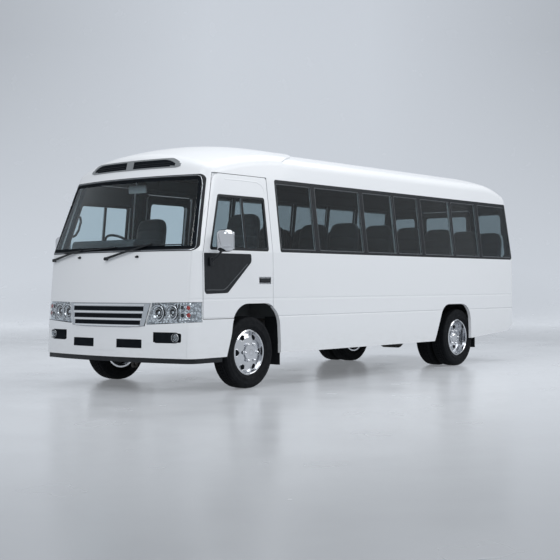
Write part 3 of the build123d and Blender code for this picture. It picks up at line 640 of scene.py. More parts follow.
# ---------------------------------------------------------------- laying details on the body's skin
# for each view: which way it looks, where its lines start, and about how far on the skin's edge is
VIEWS = {"left": (Vector((0, -1, 0)), lambda a, b: Vector((a, 2, b)), 0.97),
         "right": (Vector((0, 1, 0)), lambda a, b: Vector((a, -2, b)), 0.97),
         "front": (Vector((-1, 0, 0)), lambda a, b: Vector((4.5, a, b)), 1.4),
         "rear": (Vector((1, 0, 0)), lambda a, b: Vector((-4.5, a, b)), 1.17),
         "driver": (Vector((1, 0, 0)), lambda a, b: Vector((AHEAD - 0.5, a, b)), 0.7)}
EDGE_REACH = 0.25               # a line may miss the skin's edge by this much


def skin(*nodes):
    """What lines are dropped on: the surface of the given CAD nodes."""
    bm = bmesh.new()
    for node in nodes:
        bm.from_mesh(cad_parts[node].data)
    tree = BVHTree.FromBMesh(bm)
    bm.free()
    return tree


def drop(tree, view, a, b):
    """Where a line looking along a view meets the skin: place and outward direction."""
    run, start, depth = VIEWS[view]
    place, normal, _, _ = tree.ray_cast(start(a, b), run)
    if place is None:
        # just past an edge: the nearest point of that edge
        place, normal, _, gap = tree.find_nearest(start(a, b) + run * depth)
        if gap > EDGE_REACH:
            raise ValueError(f"no skin at {a:.3f}, {b:.3f} from the {view}")
    return place, (normal if normal.dot(run) < 0 else -normal)


def rounded(points, radius, step=0.03, closed=True):
    """Points along an outline whose corners are rounded, close enough together to drape."""
    count = len(points)
    path = []
    radii = radius if isinstance(radius, (list, tuple)) else [radius] * count
    for i, here in enumerate(points):
        here = Vector(here)
        if not closed and i in (0, count - 1):
            path.append(here)
            continue
        before, after = Vector(points[i - 1]), Vector(points[(i + 1) % count])
        reach = min(radii[i], (before - here).length / 2.05, (after - here).length / 2.05)
        a = here + (before - here).normalized() * reach
        c = here + (after - here).normalized() * reach
        for k in range(7):
            t = k / 6
            path.append((1 - t) ** 2 * a + 2 * t * (1 - t) * here + t * t * c)
    dense = []
    for i in range(len(path) if closed else len(path) - 1):
        a, b = path[i], path[(i + 1) % len(path)]
        parts = max(1, math.ceil((b - a).length / step))
        dense += [a.lerp(b, k / parts) for k in range(parts) if (b - a).length > 1e-6]
    return dense if closed else dense + [path[-1]]


def ribbon(bm, tree, view, path, width, rise, sink=0.002, closed=True):
    """Moulded strip along a path on the skin."""
    hits = [drop(tree, view, *p) for p in path]
    count = len(hits)
    near = ((-0.5, -sink), (-0.5, rise * 0.55), (-0.28, rise))
    section = near + tuple((-u, h) for u, h in reversed(near))
    rings = []
    for i, (place, normal) in enumerate(hits):
        before = hits[i - 1][0] if (i or closed) else place
        after = hits[(i + 1) % count][0] if (i < count - 1 or closed) else place
        side = normal.cross(after - before).normalized()
        rings.append([bm.verts.new(place + side * u * width + normal * h) for u, h in section])
    for i in range(count if closed else count - 1):
        bridge(bm, rings[i], rings[(i + 1) % count])
    if not closed:
        bm.faces.new(rings[0])
        bm.faces.new(list(reversed(rings[-1])))


def patch(bm, tree, view, path, rise, sink=0.002, rings=4):
    """Thin plate within a closed path, lying on the skin."""
    middle = sum((Vector(p) for p in path), Vector((0, 0))) / len(path)
    layers = {}
    for level in (rise, -sink):
        loops = []
        for r in range(rings, 0, -1):
            hits = [drop(tree, view, *(middle.lerp(Vector(p), r / rings))) for p in path]
            loops.append([bm.verts.new(place + normal * level) for place, normal in hits])
        place, normal = drop(tree, view, *middle)
        layers[level] = (loops, bm.verts.new(place + normal * level))
    count = len(path)
    for loops, centre in layers.values():
        for outer, inner in zip(loops, loops[1:]):
            bridge(bm, outer, inner)
        for k in range(count):
            bm.faces.new((loops[-1][k], loops[-1][(k + 1) % count], centre))
    bridge(bm, layers[rise][0][0], layers[-sink][0][0])


def rectangle(a0, a1, b0, b1, radius=0.01, step=0.03):
    return rounded([(a0, b0), (a1, b0), (a1, b1), (a0, b1)], radius, step)


# ---------------------------------------------------------------- Geometry Nodes
class RepeatTree:
    """A node tree that puts copies of the piece's own mesh on points, one finish on them all."""

    def __init__(self, name, inputs):
        self.tree = bpy.data.node_groups.new(name, "GeometryNodeTree")
        sockets = self.tree.interface.new_socket
        sockets("Geometry", in_out="INPUT", socket_type="NodeSocketGeometry")
        for title, kind, value in (*inputs, ("Finish", "NodeSocketMaterial", None)):
            socket = sockets(title, in_out="INPUT", socket_type=kind)
            if value is not None:
                socket.default_value = value
        sockets("Geometry", in_out="OUTPUT", socket_type="NodeSocketGeometry")
        self.given = self.add("NodeGroupInput").outputs

    def add(self, kind):
        return self.tree.nodes.new(kind)

    def link(self, source, target):
        self.tree.links.new(source, target)

    def maths(self, operation, a, b=None):
        return maths_node(self.tree, operation, a, b)

    def put(self, points, rotation=None):
        """Copies on the points, made real and given their finish."""
        copies = self.add("GeometryNodeInstanceOnPoints")
        real = self.add("GeometryNodeRealizeInstances")
        paint = self.add("GeometryNodeSetMaterial")
        self.link(points, copies.inputs["Points"])
        self.link(self.given["Geometry"], copies.inputs["Instance"])
        if rotation is not None:
            self.link(rotation, copies.inputs["Rotation"])
        self.link(copies.outputs[0], real.inputs[0])
        self.link(real.outputs[0], paint.inputs["Geometry"])
        self.link(self.given["Finish"], paint.inputs["Material"])
        self.link(paint.outputs[0], self.add("NodeGroupOutput").inputs[0])
        return self.tree


def ring_tree():
    """Repeats the piece's own mesh round the Y axis: its +Z side faces outward."""
    t = RepeatTree("repeat_round_axle", (
        ("Count", "NodeSocketInt", 12), ("Radius", "NodeSocketFloat", 0.1), ("Turn", "NodeSocketFloat", 0.0),
        ("Centre", "NodeSocketVector", None)))
    share = t.maths("DIVIDE", t.add("GeometryNodeInputIndex").outputs[0], t.given["Count"])
    angle = t.maths("ADD", t.maths("MULTIPLY", share, TAU), t.given["Turn"])
    place = t.add("ShaderNodeCombineXYZ")
    t.link(t.maths("MULTIPLY", t.maths("SINE", angle), t.given["Radius"]), place.inputs["X"])
    t.link(t.maths("MULTIPLY", t.maths("COSINE", angle), t.given["Radius"]), place.inputs["Z"])
    shift = t.add("ShaderNodeVectorMath")
    t.link(place.outputs[0], shift.inputs[0])
    t.link(t.given["Centre"], shift.inputs[1])
    turn = t.add("ShaderNodeCombineXYZ")
    t.link(angle, turn.inputs["Y"])
    points = t.add("GeometryNodePoints")
    t.link(t.given["Count"], points.inputs["Count"])
    t.link(shift.outputs[0], points.inputs["Position"])
    return t.put(points.outputs[0], turn.outputs[0])


def row_tree():
    """Repeats the piece's own mesh in a straight row."""
    t = RepeatTree("repeat_in_row", (
        ("Count", "NodeSocketInt", 4), ("Start", "NodeSocketVector", None),
        ("Step", "NodeSocketVector", None)))
    line = t.add("GeometryNodeMeshLine")
    line.mode = "OFFSET"
    for given, taken in (("Count", "Count"), ("Start", "Start Location"), ("Step", "Offset")):
        t.link(t.given[given], line.inputs[taken])
    return t.put(line.outputs[0])


TREES = {}


def repeated(name, mesh, maker, material, **inputs):
    """Run a repeat tree on mesh and return the realised mesh."""
    if maker not in TREES:
        TREES[maker] = maker()
    tree = TREES[maker]
    seed = bpy.data.objects.new(name, mesh)
    bpy.context.scene.collection.objects.link(seed)
    modifier = seed.modifiers.new("repeat", "NODES")
    modifier.node_group = tree
    keys = {item.name: item.identifier for item in tree.interface.items_tree if item.in_out == "INPUT"}
    modifier[keys["Finish"]] = finish(material)
    for key, value in inputs.items():
        modifier[keys[key]] = value
    bpy.context.view_layer.update()
    settle(seed)
    result = seed.data.copy()
    bpy.data.objects.remove(seed)
    return result


def joined(name, meshes):
    """One mesh from several, materials kept."""
    bm = bmesh.new()
    materials = []
    for mesh in meshes:
        offset = len(materials)
        start = len(bm.faces)
        bm.from_mesh(mesh)
        bm.faces.ensure_lookup_table()
        for face in bm.faces[start:]:
            face.material_index += offset
        materials += list(mesh.materials)
    made = bpy.data.meshes.new(name)
    bm.to_mesh(made)
    bm.free()
    for material in materials:
        made.materials.append(material)
    return made


# ---------------------------------------------------------------- finishes on the frame's own pieces
NODE_FINISHES = {
    "body_paint": ("left_wall", "right_wall", "rear_wall", "nose_panel", "roof_panel", "roof_cap",
                   "front_fenders", "front_bumper", "left_door", "right_door", "entry_door", "rear_door"),
    "tinted_glass": ("window_glass", "rear_door_glass"),
    "door_glass": ("left_door_glass", "right_door_glass", "entry_door_glass"),
    "screen_glass": ("windscreen",),
    "black_trim": ("window_frames", "left_door_frame", "right_door_frame", "windscreen_seal", "lower_valance",
                   "wipers"),
    "flat_black": ("front_inserts",),
    "flap_rubber": ("mud_flaps",),
    "vent_grey": ("roof_vent",),
    "chrome": ("left_mirror", "right_mirror", "front_left_rim", "front_right_rim", "rear_left_rims",
               "rear_right_rims"),
    "satin_silver": ("grille",),
    "tyre_rubber": ("front_left_tyre", "front_right_tyre", "rear_left_tyres", "rear_right_tyres"),
    "chassis_paint": ("chassis_rails", "cross_members", "axles", "leaf_springs", "left_knuckle",
                      "right_knuckle", "propeller_shaft", "fuel_tank"),
    "cast_metal": ("engine",),
    "steel": ("exhaust",),
    "seat_fabric": ("cab_seats", "passenger_seats"),
    "cab_plastic": ("dashboard", "steering_wheel"),
    "floor_vinyl": ("floor_pan", "floor_boxes"),
    "clear_lens": ("headlamp_lenses", "fog_lamps"),
    "lamp_silver": ("headlamp_housings",),
    "red_lens": ("tail_lamps",),
}


class MINIBUS_OT_finishes(bpy.types.Operator):
    """Give every piece of the frame its finish"""
    bl_idname = "minibus.finishes"
    bl_label = "Finish the frame"

    def execute(self, context):
        for name, nodes in NODE_FINISHES.items():
            for node in nodes:
                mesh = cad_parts[node].data
                mesh.materials.clear()
                mesh.materials.append(finish(name))
        return {"FINISHED"}


# ---------------------------------------------------------------- tyres
def tyre_profile(radius, rim, half, groove):
    """(radius, y) outline of a tyre without its tread blocks, from one bead round to the other."""
    bead = ((-0.004, 0.72), (0.004, 0.84), (0.012, 0.88), (0.020, 0.90), (0.030, 0.955), (0.034, 0.985),
            (0.050, 0.995), (0.052, 0.975), (0.070, 0.985))
    shoulder = ((0.052, 0.985), (0.046, 0.998), (0.040, 0.975), (0.026, 0.94), (0.013, 0.88), (groove, 0.78))
    near = [(rim + out, share * half) for out, share in bead]
    near += [(radius - under, share * half) for under, share in shoulder]
    return near + [(r, -y) for r, y in reversed(near)]


TYRE_SEGMENTS = 120
# rows of blocks: place and width as shares of the half width, and how far a row is turned, in blocks
TREAD_ROWS = ((-0.66, 0.26, 0.0), (-0.33, 0.24, 0.5), (0.0, 0.26, 0.25), (0.33, 0.24, 0.75),
              (0.66, 0.26, 0.5))
BLOCK_SPREAD = 1.04
BLOCK_FOOT, BLOCK_CROWN = -0.018, -0.0006       # it sinks into the carcass and stays within the tyre's radius
BLOCK_SLANT, SHOULDER_FALL = 0.22, 0.09


def tread_block(length, wide, place, half):
    """Slanted tread block; those of the outer rows fall away towards the shoulder."""
    bm = bmesh.new()
    slab(bm, (-length / 2, -wide / 2, BLOCK_FOOT), (length / 2, wide / 2, BLOCK_CROWN))
    for v in bm.verts:
        v.co.x += BLOCK_SLANT * abs(v.co.y) * (1 if place >= 0 else -1)
        v.co.z -= SHOULDER_FALL * abs(place) * abs(v.co.y + place * half) * (abs(place) > 0.5)
    return to_mesh("block", bm)


class MINIBUS_OT_tyres(bpy.types.Operator):
    """Model each tyre: moulded walls and rows of tread blocks"""
    bl_idname = "minibus.tyres"
    bl_label = "Tyres"

    def execute(self, context):
        setting = context.scene.minibus_tyres
        for node, body in (("front_left_tyre", "front_left_wheel"), ("front_right_tyre", "front_right_wheel"),
                           ("rear_left_tyres", "rear_left_wheel"), ("rear_right_tyres", "rear_right_wheel")):
            rim_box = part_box(node.replace("tyre", "rim"))
            rim = (rim_box[1].z - rim_box[0].z) / 2
            meshes = []
            for lo, hi in solids_of(node):
                radius, half = (hi.z - lo.z) / 2, (hi.y - lo.y) / 2
                centre = (lo + hi) / 2
                bm = bmesh.new()
                lathe(bm, tyre_profile(radius, rim, half, setting.groove), centre, TYRE_SEGMENTS)
                meshes.append(to_mesh("carcass", bm, "tyre_rubber"))
                length = TAU * radius / setting.blocks - setting.gap
                for place, width, turn in TREAD_ROWS:
                    block = tread_block(length, width * half * BLOCK_SPREAD, place, half)
                    meshes.append(repeated("tread_row", block, ring_tree, "tyre_rubber", Count=setting.blocks,
                                           Radius=radius, Turn=turn * TAU / setting.blocks,
                                           Centre=centre + Vector((0, place * half, 0))))
            made = piece(node + "_tread", joined(node, meshes), None, "tyre_rubber", body, 30)
            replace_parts(made, node)
        return {"FINISHED"}


# ---------------------------------------------------------------- lining of the cabin
LINED = (("roof_panel", BODY), ("roof_cap", BODY), ("left_wall", BODY), ("right_wall", BODY),
         ("rear_wall", BODY), ("nose_panel", BODY), ("left_door", "left_door"), ("right_door", "right_door"),
         ("entry_door", "entry_door"), ("rear_door", "rear_door"))
LINING_GAP, LINING_T = 0.0006, 0.003
SPINE_FROM, SPINE_TO, SPINE_Z = -2.6, 2.35, 1.3


def inward(face):
    """True if a face looks towards the bus's lengthwise spine."""
    middle = face.calc_center_median()
    spine = Vector((max(SPINE_FROM, min(SPINE_TO, middle.x)), 0, SPINE_Z))
    out = (middle - spine).normalized()
    return face.normal.dot(out) < -0.35


class MINIBUS_OT_linings(bpy.types.Operator):
    """Line the cabin side of each wall, door and roof panel"""
    bl_idname = "minibus.linings"
    bl_label = "Cabin linings"

    def execute(self, context):
        for node, body in LINED:
            bm = merged_copy(node)
            bm.normal_update()
            outer = [f for f in bm.faces if not inward(f)]
            bmesh.ops.delete(bm, geom=outer, context="FACES")
            bm.normal_update()
            for v in bm.verts:
                v.co += v.normal * LINING_GAP
            mesh = bpy.data.meshes.new(node + "_lining")
            bm.to_mesh(mesh)
            bm.free()
            made = piece(node + "_lining", mesh, "lining", "cab_plastic", None, 35)
            thick = made.modifiers.new("thickness", "SOLIDIFY")
            thick.thickness, thick.offset = LINING_T, 1
            settle(made)
            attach(made, body)
        return {"FINISHED"}


# ---------------------------------------------------------------- seats
PAD_ROWS, PAD_SIDE_ROWS = 18, 6
PAD_POWER = 5.0                 # how square a pad's corners are
SEAM_WIDTH = 0.03               # of half the pad
SEAM_STEPS = (-0.05, -0.02, 0, 0.02, 0.05)


def pad(bm, centre, size, crown, channels, depth, turn=0.0):
    """Crowned pad whose face (+Z before turning) has sewn channels across it."""
    half = Vector(size) / 2
    even = [-1 + 2 * k / PAD_ROWS for k in range(PAD_ROWS + 1)]
    thin = [-1 + 2 * k / PAD_SIDE_ROWS for k in range(PAD_SIDE_ROWS + 1)]
    marks = sorted({-1.0, 1.0, *even, *(c + d for c in channels for d in SEAM_STEPS)})
    tilt = Matrix.Rotation(turn, 3, "Y")
    shared = {}

    def vert(u, v, w):
        key = (round(u, 5), round(v, 5), round(w, 5))
        if key not in shared:
            norm = (abs(u) ** PAD_POWER + abs(v) ** PAD_POWER + abs(w) ** PAD_POWER) ** (1 / PAD_POWER)
            p = Vector((u, v, w)) * (1 / norm)
            bulge = crown * (1 - p.x ** 2) * (1 - p.y ** 2) * max(p.z, 0)
            sewn = sum(math.exp(-((u - c) / SEAM_WIDTH) ** 2) for c in channels) * depth * max(p.z, 0)
            place = Vector((p.x * half.x, p.y * half.y, p.z * (half.z - crown / 2) + bulge - sewn))
            shared[key] = bm.verts.new(tilt @ place + Vector(centre))
        return shared[key]

    def sheet(a_values, b_values, at):
        for a0, a1 in zip(a_values, a_values[1:]):
            for b0, b1 in zip(b_values, b_values[1:]):
                bm.faces.new([at(a0, b0), at(a1, b0), at(a1, b1), at(a0, b1)])

    for end in (-1.0, 1.0):
        sheet(marks, even, lambda a, b: vert(a, b, end))
        sheet(marks, thin, lambda a, b: vert(a, end, b))
        sheet(even, thin, lambda a, b: vert(end, a, b))


SEAT_GAP, FRONT_GAP, TOP_GAP = 0.006, 0.004, 0.01
CUSHION_LONG, CUSHION_THICK, CUSHION_UP = 0.444, 0.118, 0.243
CUSHION_SEAMS = (-0.35, 0.05, 0.45)
BACK_THICK, BACK_UP, BACK_BEHIND = 0.098, 0.30, 0.102
BACK_LEAN, LEAN_FROM = 0.10, 0.26               # how far the back leans, from this height up
BACK_CROWN = 0.7                                # of the cushion's crown
BACK_SEAMS = (-0.55, -0.2, 0.15, 0.5)


def seat_pads(bm, lo, hi, crown, depth):
    """Cushion and back that fill one CAD seat's box, facing +X."""
    y = (lo.y + hi.y) / 2
    wide = hi.y - lo.y - SEAT_GAP
    pad(bm, (hi.x - CUSHION_LONG / 2 - FRONT_GAP, y, lo.z + CUSHION_UP), (CUSHION_LONG, wide, CUSHION_THICK),
        crown, CUSHION_SEAMS, depth)
    low, high = lo.z + BACK_UP, hi.z - TOP_GAP
    lean = math.atan2(BACK_LEAN, hi.z - lo.z - LEAN_FROM)
    pad(bm, (lo.x + BACK_BEHIND, y, (low + high) / 2), (high - low, wide, BACK_THICK), crown * BACK_CROWN,
        BACK_SEAMS, depth, math.pi / 2 - lean)


LEG_HALF, SHOE_HALF, LEG_TOP, SHOE_TOP = 0.014, 0.016, 0.185, 0.020
PAN_IN, PAN_LOW, PAN_HIGH = 0.03, 0.168, 0.190


def seat_metal(bm, lo, hi):
    """Two pairs of legs on shoes, below a seat pan."""
    y = (lo.y + hi.y) / 2
    half = (hi.y - lo.y) / 2
    foot = lo.z + 0.001
    for sign in (-1, 1):
        leg_y = y + sign * (half - 0.075)
        for x0, x1 in ((lo.x + 0.17, lo.x + 0.20), (hi.x - 0.09, hi.x - 0.06)):
            slab(bm, (x0, leg_y - LEG_HALF, foot), (x1, leg_y + LEG_HALF, lo.z + LEG_TOP), 0.004)
        slab(bm, (lo.x + 0.16, leg_y - SHOE_HALF, foot), (hi.x - 0.05, leg_y + SHOE_HALF, lo.z + SHOE_TOP),
             0.004)
    slab(bm, (lo.x + 0.13, y - half + PAN_IN, lo.z + PAN_LOW),
         (hi.x - 0.03, y + half - PAN_IN, lo.z + PAN_HIGH), 0.006)


class MINIBUS_OT_seats(bpy.types.Operator):
    """Model the cab and passenger seats: crowned pads with sewn channels on metal stands"""
    bl_idname = "minibus.seats"
    bl_label = "Seats"

    def execute(self, context):
        setting = context.scene.minibus_seats
        for node in ("cab_seats", "passenger_seats"):
            pads, stands = bmesh.new(), bmesh.new()
            for lo, hi in solids_of(node):
                seat_pads(pads, lo, hi, setting.crown, setting.channel)
                seat_metal(stands, lo, hi)
            made = piece(node[:-1] + "_pads", pads, "seat_fabric", "seat_fabric", BODY, 60)
            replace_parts(made, node)
            piece(node[:-1] + "_stands", stands, "chassis_paint", "chassis_paint", BODY, 35)
        return {"FINISHED"}


# ---------------------------------------------------------------- wheels
def flip(side, *points):
    """Points of the left side, or mirrored for the right one."""
    return [Vector((x, y * side, z)) for x, y, z in points]


def wheel_nut(width, side):
    """Nut on a washer, standing along Y away from the bus."""
    bm = bmesh.new()
    r = width / 2
    out = (0, side, 0)
    washer = [(0, -0.002), (r * 1.18, -0.002), (r * 1.18, 0.003), (r * 1.05, 0.005), (0, 0.005)]
    nut = [(0, 0.004), (r, 0.004), (r, 0.019), (r * 0.84, 0.022), (r * 0.6, 0.024), (r * 0.56, 0.031),
           (r * 0.3, 0.034), (0, 0.034)]
    turned(bm, washer, (0, 0, 0), out, 24)
    turned(bm, nut, (0, 0, 0), out, 6)
    return to_mesh("nut", bm)


HAND_HOLES, HOLE_CIRCLE = 6, 0.171
HOLE_TALL, HOLE_WIDE = 0.028, 0.036
HOLE_PLATE, HOLE_SINK, HOLE_LIP_R = 0.0022, 0.001, 0.00315
HOLE_POINTS = 28
HUB_RING = [(0.060, -0.004), (0.067, -0.004), (0.067, 0.002), (0.064, 0.004), (0.060, 0.003)]
HUB_DOME = [(0, -0.004), (0.061, -0.004), (0.062, 0.004), (0.056, 0.014), (0.044, 0.023), (0.028, 0.029),
            (0.012, 0.031), (0, 0.0315)]
VALVE_FROM = (-0.07, 0.175)     # x and z from the hub
VALVE_BENDS = ((0, -0.004, 0), (-0.004, 0.016, 0.011), (-0.008, 0.034, 0.021))
VALVE_R = 0.0045


def hand_hole(dark, lip, tree, view, side, centre, angle):
    """Dark oval plate with a rolled lip, lying on the wheel's disc where a hand hole is: painted shade in
    place of the dark seen through the hole.
    """
    hits = []
    for k in range(HOLE_POINTS):
        t = TAU * k / HOLE_POINTS
        u = HOLE_CIRCLE + HOLE_TALL * math.cos(t)
        v = HOLE_WIDE * math.sin(t)
        hits.append(drop(tree, view, centre[0] + u * math.sin(angle) + v * math.cos(angle),
                         centre[1] + u * math.cos(angle) - v * math.sin(angle))[0])
    level = sorted(abs(h.y) for h in hits)[HOLE_POINTS // 2]
    out = Vector((0, side, 0))
    flat = [Vector((h.x, side * (0.5 * abs(h.y) + 0.5 * level), h.z)) for h in hits]
    middle = sum(flat, Vector()) / HOLE_POINTS
    loops = []
    for height in (HOLE_PLATE, -HOLE_SINK):
        ring = [dark.verts.new(p + out * height) for p in flat]
        hub = dark.verts.new(middle + out * height)
        for k, v in enumerate(ring):
            dark.faces.new((v, ring[(k + 1) % HOLE_POINTS], hub))
        loops.append(ring)
    bridge(dark, *loops)
    tube(lip, [p + out * HOLE_PLATE * 0.5 for p in flat], HOLE_LIP_R, 8, True)


class MINIBUS_OT_wheels(bpy.types.Operator):
    """Fit each wheel with its nuts, valve, hub cap, and dark plates that paint the shade of its hand holes"""
    bl_idname = "minibus.wheels"
    bl_label = "Wheel fittings"

    def execute(self, context):
        setting = context.scene.minibus_wheels
        for end in ("front", "rear"):
            for name, side in SIDES:
                node = f"{end}_{name}_rim" + ("s" if end == "rear" else "")
                wheel = f"{end}_{name}_wheel"
                tree = skin(node)
                lo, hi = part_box(node)
                x, z = (lo.x + hi.x) / 2, (lo.z + hi.z) / 2
                disc, _ = drop(tree, name, x + setting.nut_circle, z)
                cap, _ = drop(tree, name, x, z)
                nuts = repeated("nuts", wheel_nut(setting.nut_width, side), ring_tree, "chrome",
                                Count=setting.nuts, Radius=setting.nut_circle, Turn=TAU / setting.nuts / 2,
                                Centre=Vector((x, disc.y, z)))
                bm, hole_shades = bmesh.new(), bmesh.new()
                for profile in (HUB_RING, HUB_DOME):
                    turned(bm, profile, (x, cap.y, z), (0, side, 0), 48)
                # painted shade: a flat black plate for each hand hole
                for k in range(HAND_HOLES):
                    hand_hole(hole_shades, bm, tree, name, side, (x, z), (k + 0.5) * TAU / HAND_HOLES)
                piece(f"{end}_{name}_hand_hole_shades", hole_shades, "flat_black", "black_trim", wheel)
                valve_x, valve_z = x + VALVE_FROM[0], z + VALVE_FROM[1]
                stem = abs(drop(tree, name, valve_x, valve_z)[0].y)
                bends = [(valve_x + dx, stem + dy, valve_z + dz) for dx, dy, dz in VALVE_BENDS]
                tube(bm, flip(side, *bends), VALVE_R, 8)
                fittings = joined("fittings", [nuts, to_mesh("hub", bm, "chrome")])
                piece(f"{wheel}_fittings", fittings, None, "chrome", wheel, 25)
        return {"FINISHED"}


# ---------------------------------------------------------------- lamps
BOWLS = ((0.676, 0.783, 0.072), (0.838, 0.790, 0.064))
SIDE_BULBS = ((1.018, 0.836, 0.025, True), (1.024, 0.764, 0.026, True), (0.955, 0.838, 0.021, False),
              (0.962, 0.762, 0.023, False))
HOUSING_DEPTH = 0.018           # from the lens to the reflector, looking diagonally at the corner
BOWL_LIP, BOWL_DEPTH = 0.008, 0.034
FACET, FACET_DEPTH = 0.030, 0.0045
REFLECTOR_BACK = 0.066
REFLECTOR_COLUMNS, REFLECTOR_ROWS = 210, 64
SEARCH_ROWS = 80                # steps in which a lens's upper and lower edge are looked for
BEAD_HEIGHTS = [0.700 + 0.025 * k for k in range(8)]


def lamp_relief(y, z):
    """How far the reflector is set back behind the lens at y, z."""
    for cy, cz, r in BOWLS:
        gap = math.hypot(y - cy, z - cz) / r
        if gap < 1:
            return BOWL_LIP + BOWL_DEPTH * (1 - gap ** 2)
    fade = max(0.0, min(1.0, (1.06 - y) / 0.03))
    return FACET_DEPTH * fade * abs(math.sin(math.pi * y / FACET)) * abs(math.sin(math.pi * z / FACET))


def corner_line(side):
    """Direction looking diagonally at a front corner, and the level direction across it."""
    return (Vector((-0.75, -0.66 * side, 0)).normalized(), Vector((-0.66, 0.75 * side, 0)).normalized())


def reflector(bm, tree, lo, hi, side):
    """Closed shell behind a lens: bowls and facets in front, plain at the back."""
    run, across = corner_line(side)

    def hit(a, z):
        return tree.ray_cast(across * a + Vector((0, 0, z)) - run * 8, run)[0]

    spans = [across.dot(Vector((x, y, 0))) for x in (lo.x, hi.x) for y in (lo.y, hi.y)]
    heights = [lo.z + (hi.z - lo.z) * k / SEARCH_ROWS for k in range(SEARCH_ROWS + 1)]
    columns = []
    for i in range(REFLECTOR_COLUMNS + 1):
        a = min(spans) + (max(spans) - min(spans)) * i / REFLECTOR_COLUMNS
        found = [z for z in heights if hit(a, z) is not None]
        if len(found) < 4:
            continue
        column = []
        for k in range(REFLECTOR_ROWS + 1):
            z = found[0] + (found[-1] - found[0]) * k / REFLECTOR_ROWS
            place = hit(a, z)
            if place is None:
                break
            column.append(place)
        if len(column) == REFLECTOR_ROWS + 1:
            columns.append(column)
    fronts = [[bm.verts.new(p + run * HOUSING_DEPTH - Vector((lamp_relief(abs(p.y), p.z), 0, 0)))
               for p in column] for column in columns]
    backs = [[bm.verts.new(p + run * REFLECTOR_BACK) for p in column] for column in columns]
    closed_grid(bm, fronts, backs)


def lamp_bowl(at, axis, r, rings, dark, metal):
    """Rim, inner rings and centre of one round lamp of radius r; the dark ring between the rim and the inner
    ring is a painted dark reflection of the bowl's wall.
    """
    turned(rings, [(r - 0.002, -0.010), (r - 0.001, 0.002), (r + 0.006, 0.004), (r + 0.011, 0.001),
                   (r + 0.012, -0.012)], at, axis, 56)
    turned(dark, [(r + 0.010, -0.012), (r + 0.011, -0.0005), (r + 0.016, -0.0005), (r + 0.018, -0.012)],
           at, axis, 56)
    deep = at - Vector((BOWL_LIP + 0.016, 0, 0))
    # painted reflection: dark ring for the bowl wall's dark reflection
    turned(dark, [(r * 0.66, -0.016), (r * 0.68, 0.004), (r * 0.76, 0.004), (r * 0.80, -0.008)],
           deep, axis, 48)
    turned(rings, [(r * 0.52, -0.018), (r * 0.55, 0.009), (r * 0.63, 0.010), (r * 0.68, -0.014)],
           deep, axis, 48)
    turned(dark, [(0, -0.014), (r * 0.53, -0.014), (r * 0.53, -0.006), (0, -0.006)], deep, axis, 40)
    turned(metal, [(0, -0.010), (r * 0.30, -0.010), (r * 0.28, 0.000), (r * 0.15, 0.007), (0, 0.009)],
           deep, axis, 32)


def side_bulb(at, axis, r, rings, cup, clear):
    """Small lamp beside the bowls: a ring round a cup, with a clear bulb where clear is given."""
    turned(rings, [(r, -0.010), (r, 0.003), (r + 0.004, 0.004), (r + 0.007, -0.010)], at, axis, 32)
    turned(cup, [(0, -0.010), (r - 0.001, -0.010), (r - 0.002, -0.002), (r * 0.6, 0.003), (0, 0.005)],
           at, axis, 24)
    if clear:
        turned(clear, [(0, 0.000), (r * 0.55, 0.000), (r * 0.5, 0.007), (0, 0.009)], at, axis, 20)


class MINIBUS_OT_headlamps(bpy.types.Operator):
    """Model the insides of the headlamps: reflectors, rings and bulbs"""
    bl_idname = "minibus.headlamps"
    bl_label = "Headlamps"

    def execute(self, context):
        tree = skin("headlamp_lenses")
        shells = bmesh.new()
        ahead = Vector((1, 0, 0))
        for (lo, hi), (name, side) in zip(solids_of("headlamp_lenses"), reversed(SIDES)):
            reflector(shells, tree, lo, hi, side)
            metal, dark, clear, red, rings = (bmesh.new() for _ in range(5))
            run, _ = corner_line(side)
            for y, z, r in BOWLS:
                at, normal = drop(tree, "front", side * y, z)
                lamp_bowl(at + run * HOUSING_DEPTH, (normal + ahead).normalized(), r, rings, dark, metal)
            for y, z, r, is_red in SIDE_BULBS:
                at, normal = drop(tree, "front", side * y, z)
                side_bulb(at + run * HOUSING_DEPTH, (ahead + normal).normalized(), r, rings,
                          red if is_red else dark, None if is_red else clear)
            behind = run * (HOUSING_DEPTH - 0.003)
            for y, reach, into in ((1.066, 0.0045, metal), (0.912, 0.003, dark), (0.920, 0.003, metal)):
                tube(into, [drop(tree, "front", side * y, z)[0] + behind for z in BEAD_HEIGHTS], reach, 8)
            for title, bm, material, slot in (("rings", rings, "chrome", "lamp_silver"),
                                              ("centres", metal, "lamp_silver", "lamp_silver"),
                                              # the dark rings among these are painted reflection of the
                                              # bowls' walls
                                              ("dark_parts_and_painted_reflections", dark, "flat_black", "black_trim"),
                                              ("bulbs", clear, "clear_lens", "clear_lens"),
                                              ("markers", red, "red_lens", "red_lens")):
                piece(f"{name}_lamp_{title}", bm, material, slot, BODY, 50)
        made = piece("lamp_reflectors", shells, "lamp_silver", "lamp_silver", BODY, 30)
        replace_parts(made, "headlamp_housings")
        return {"FINISHED"}


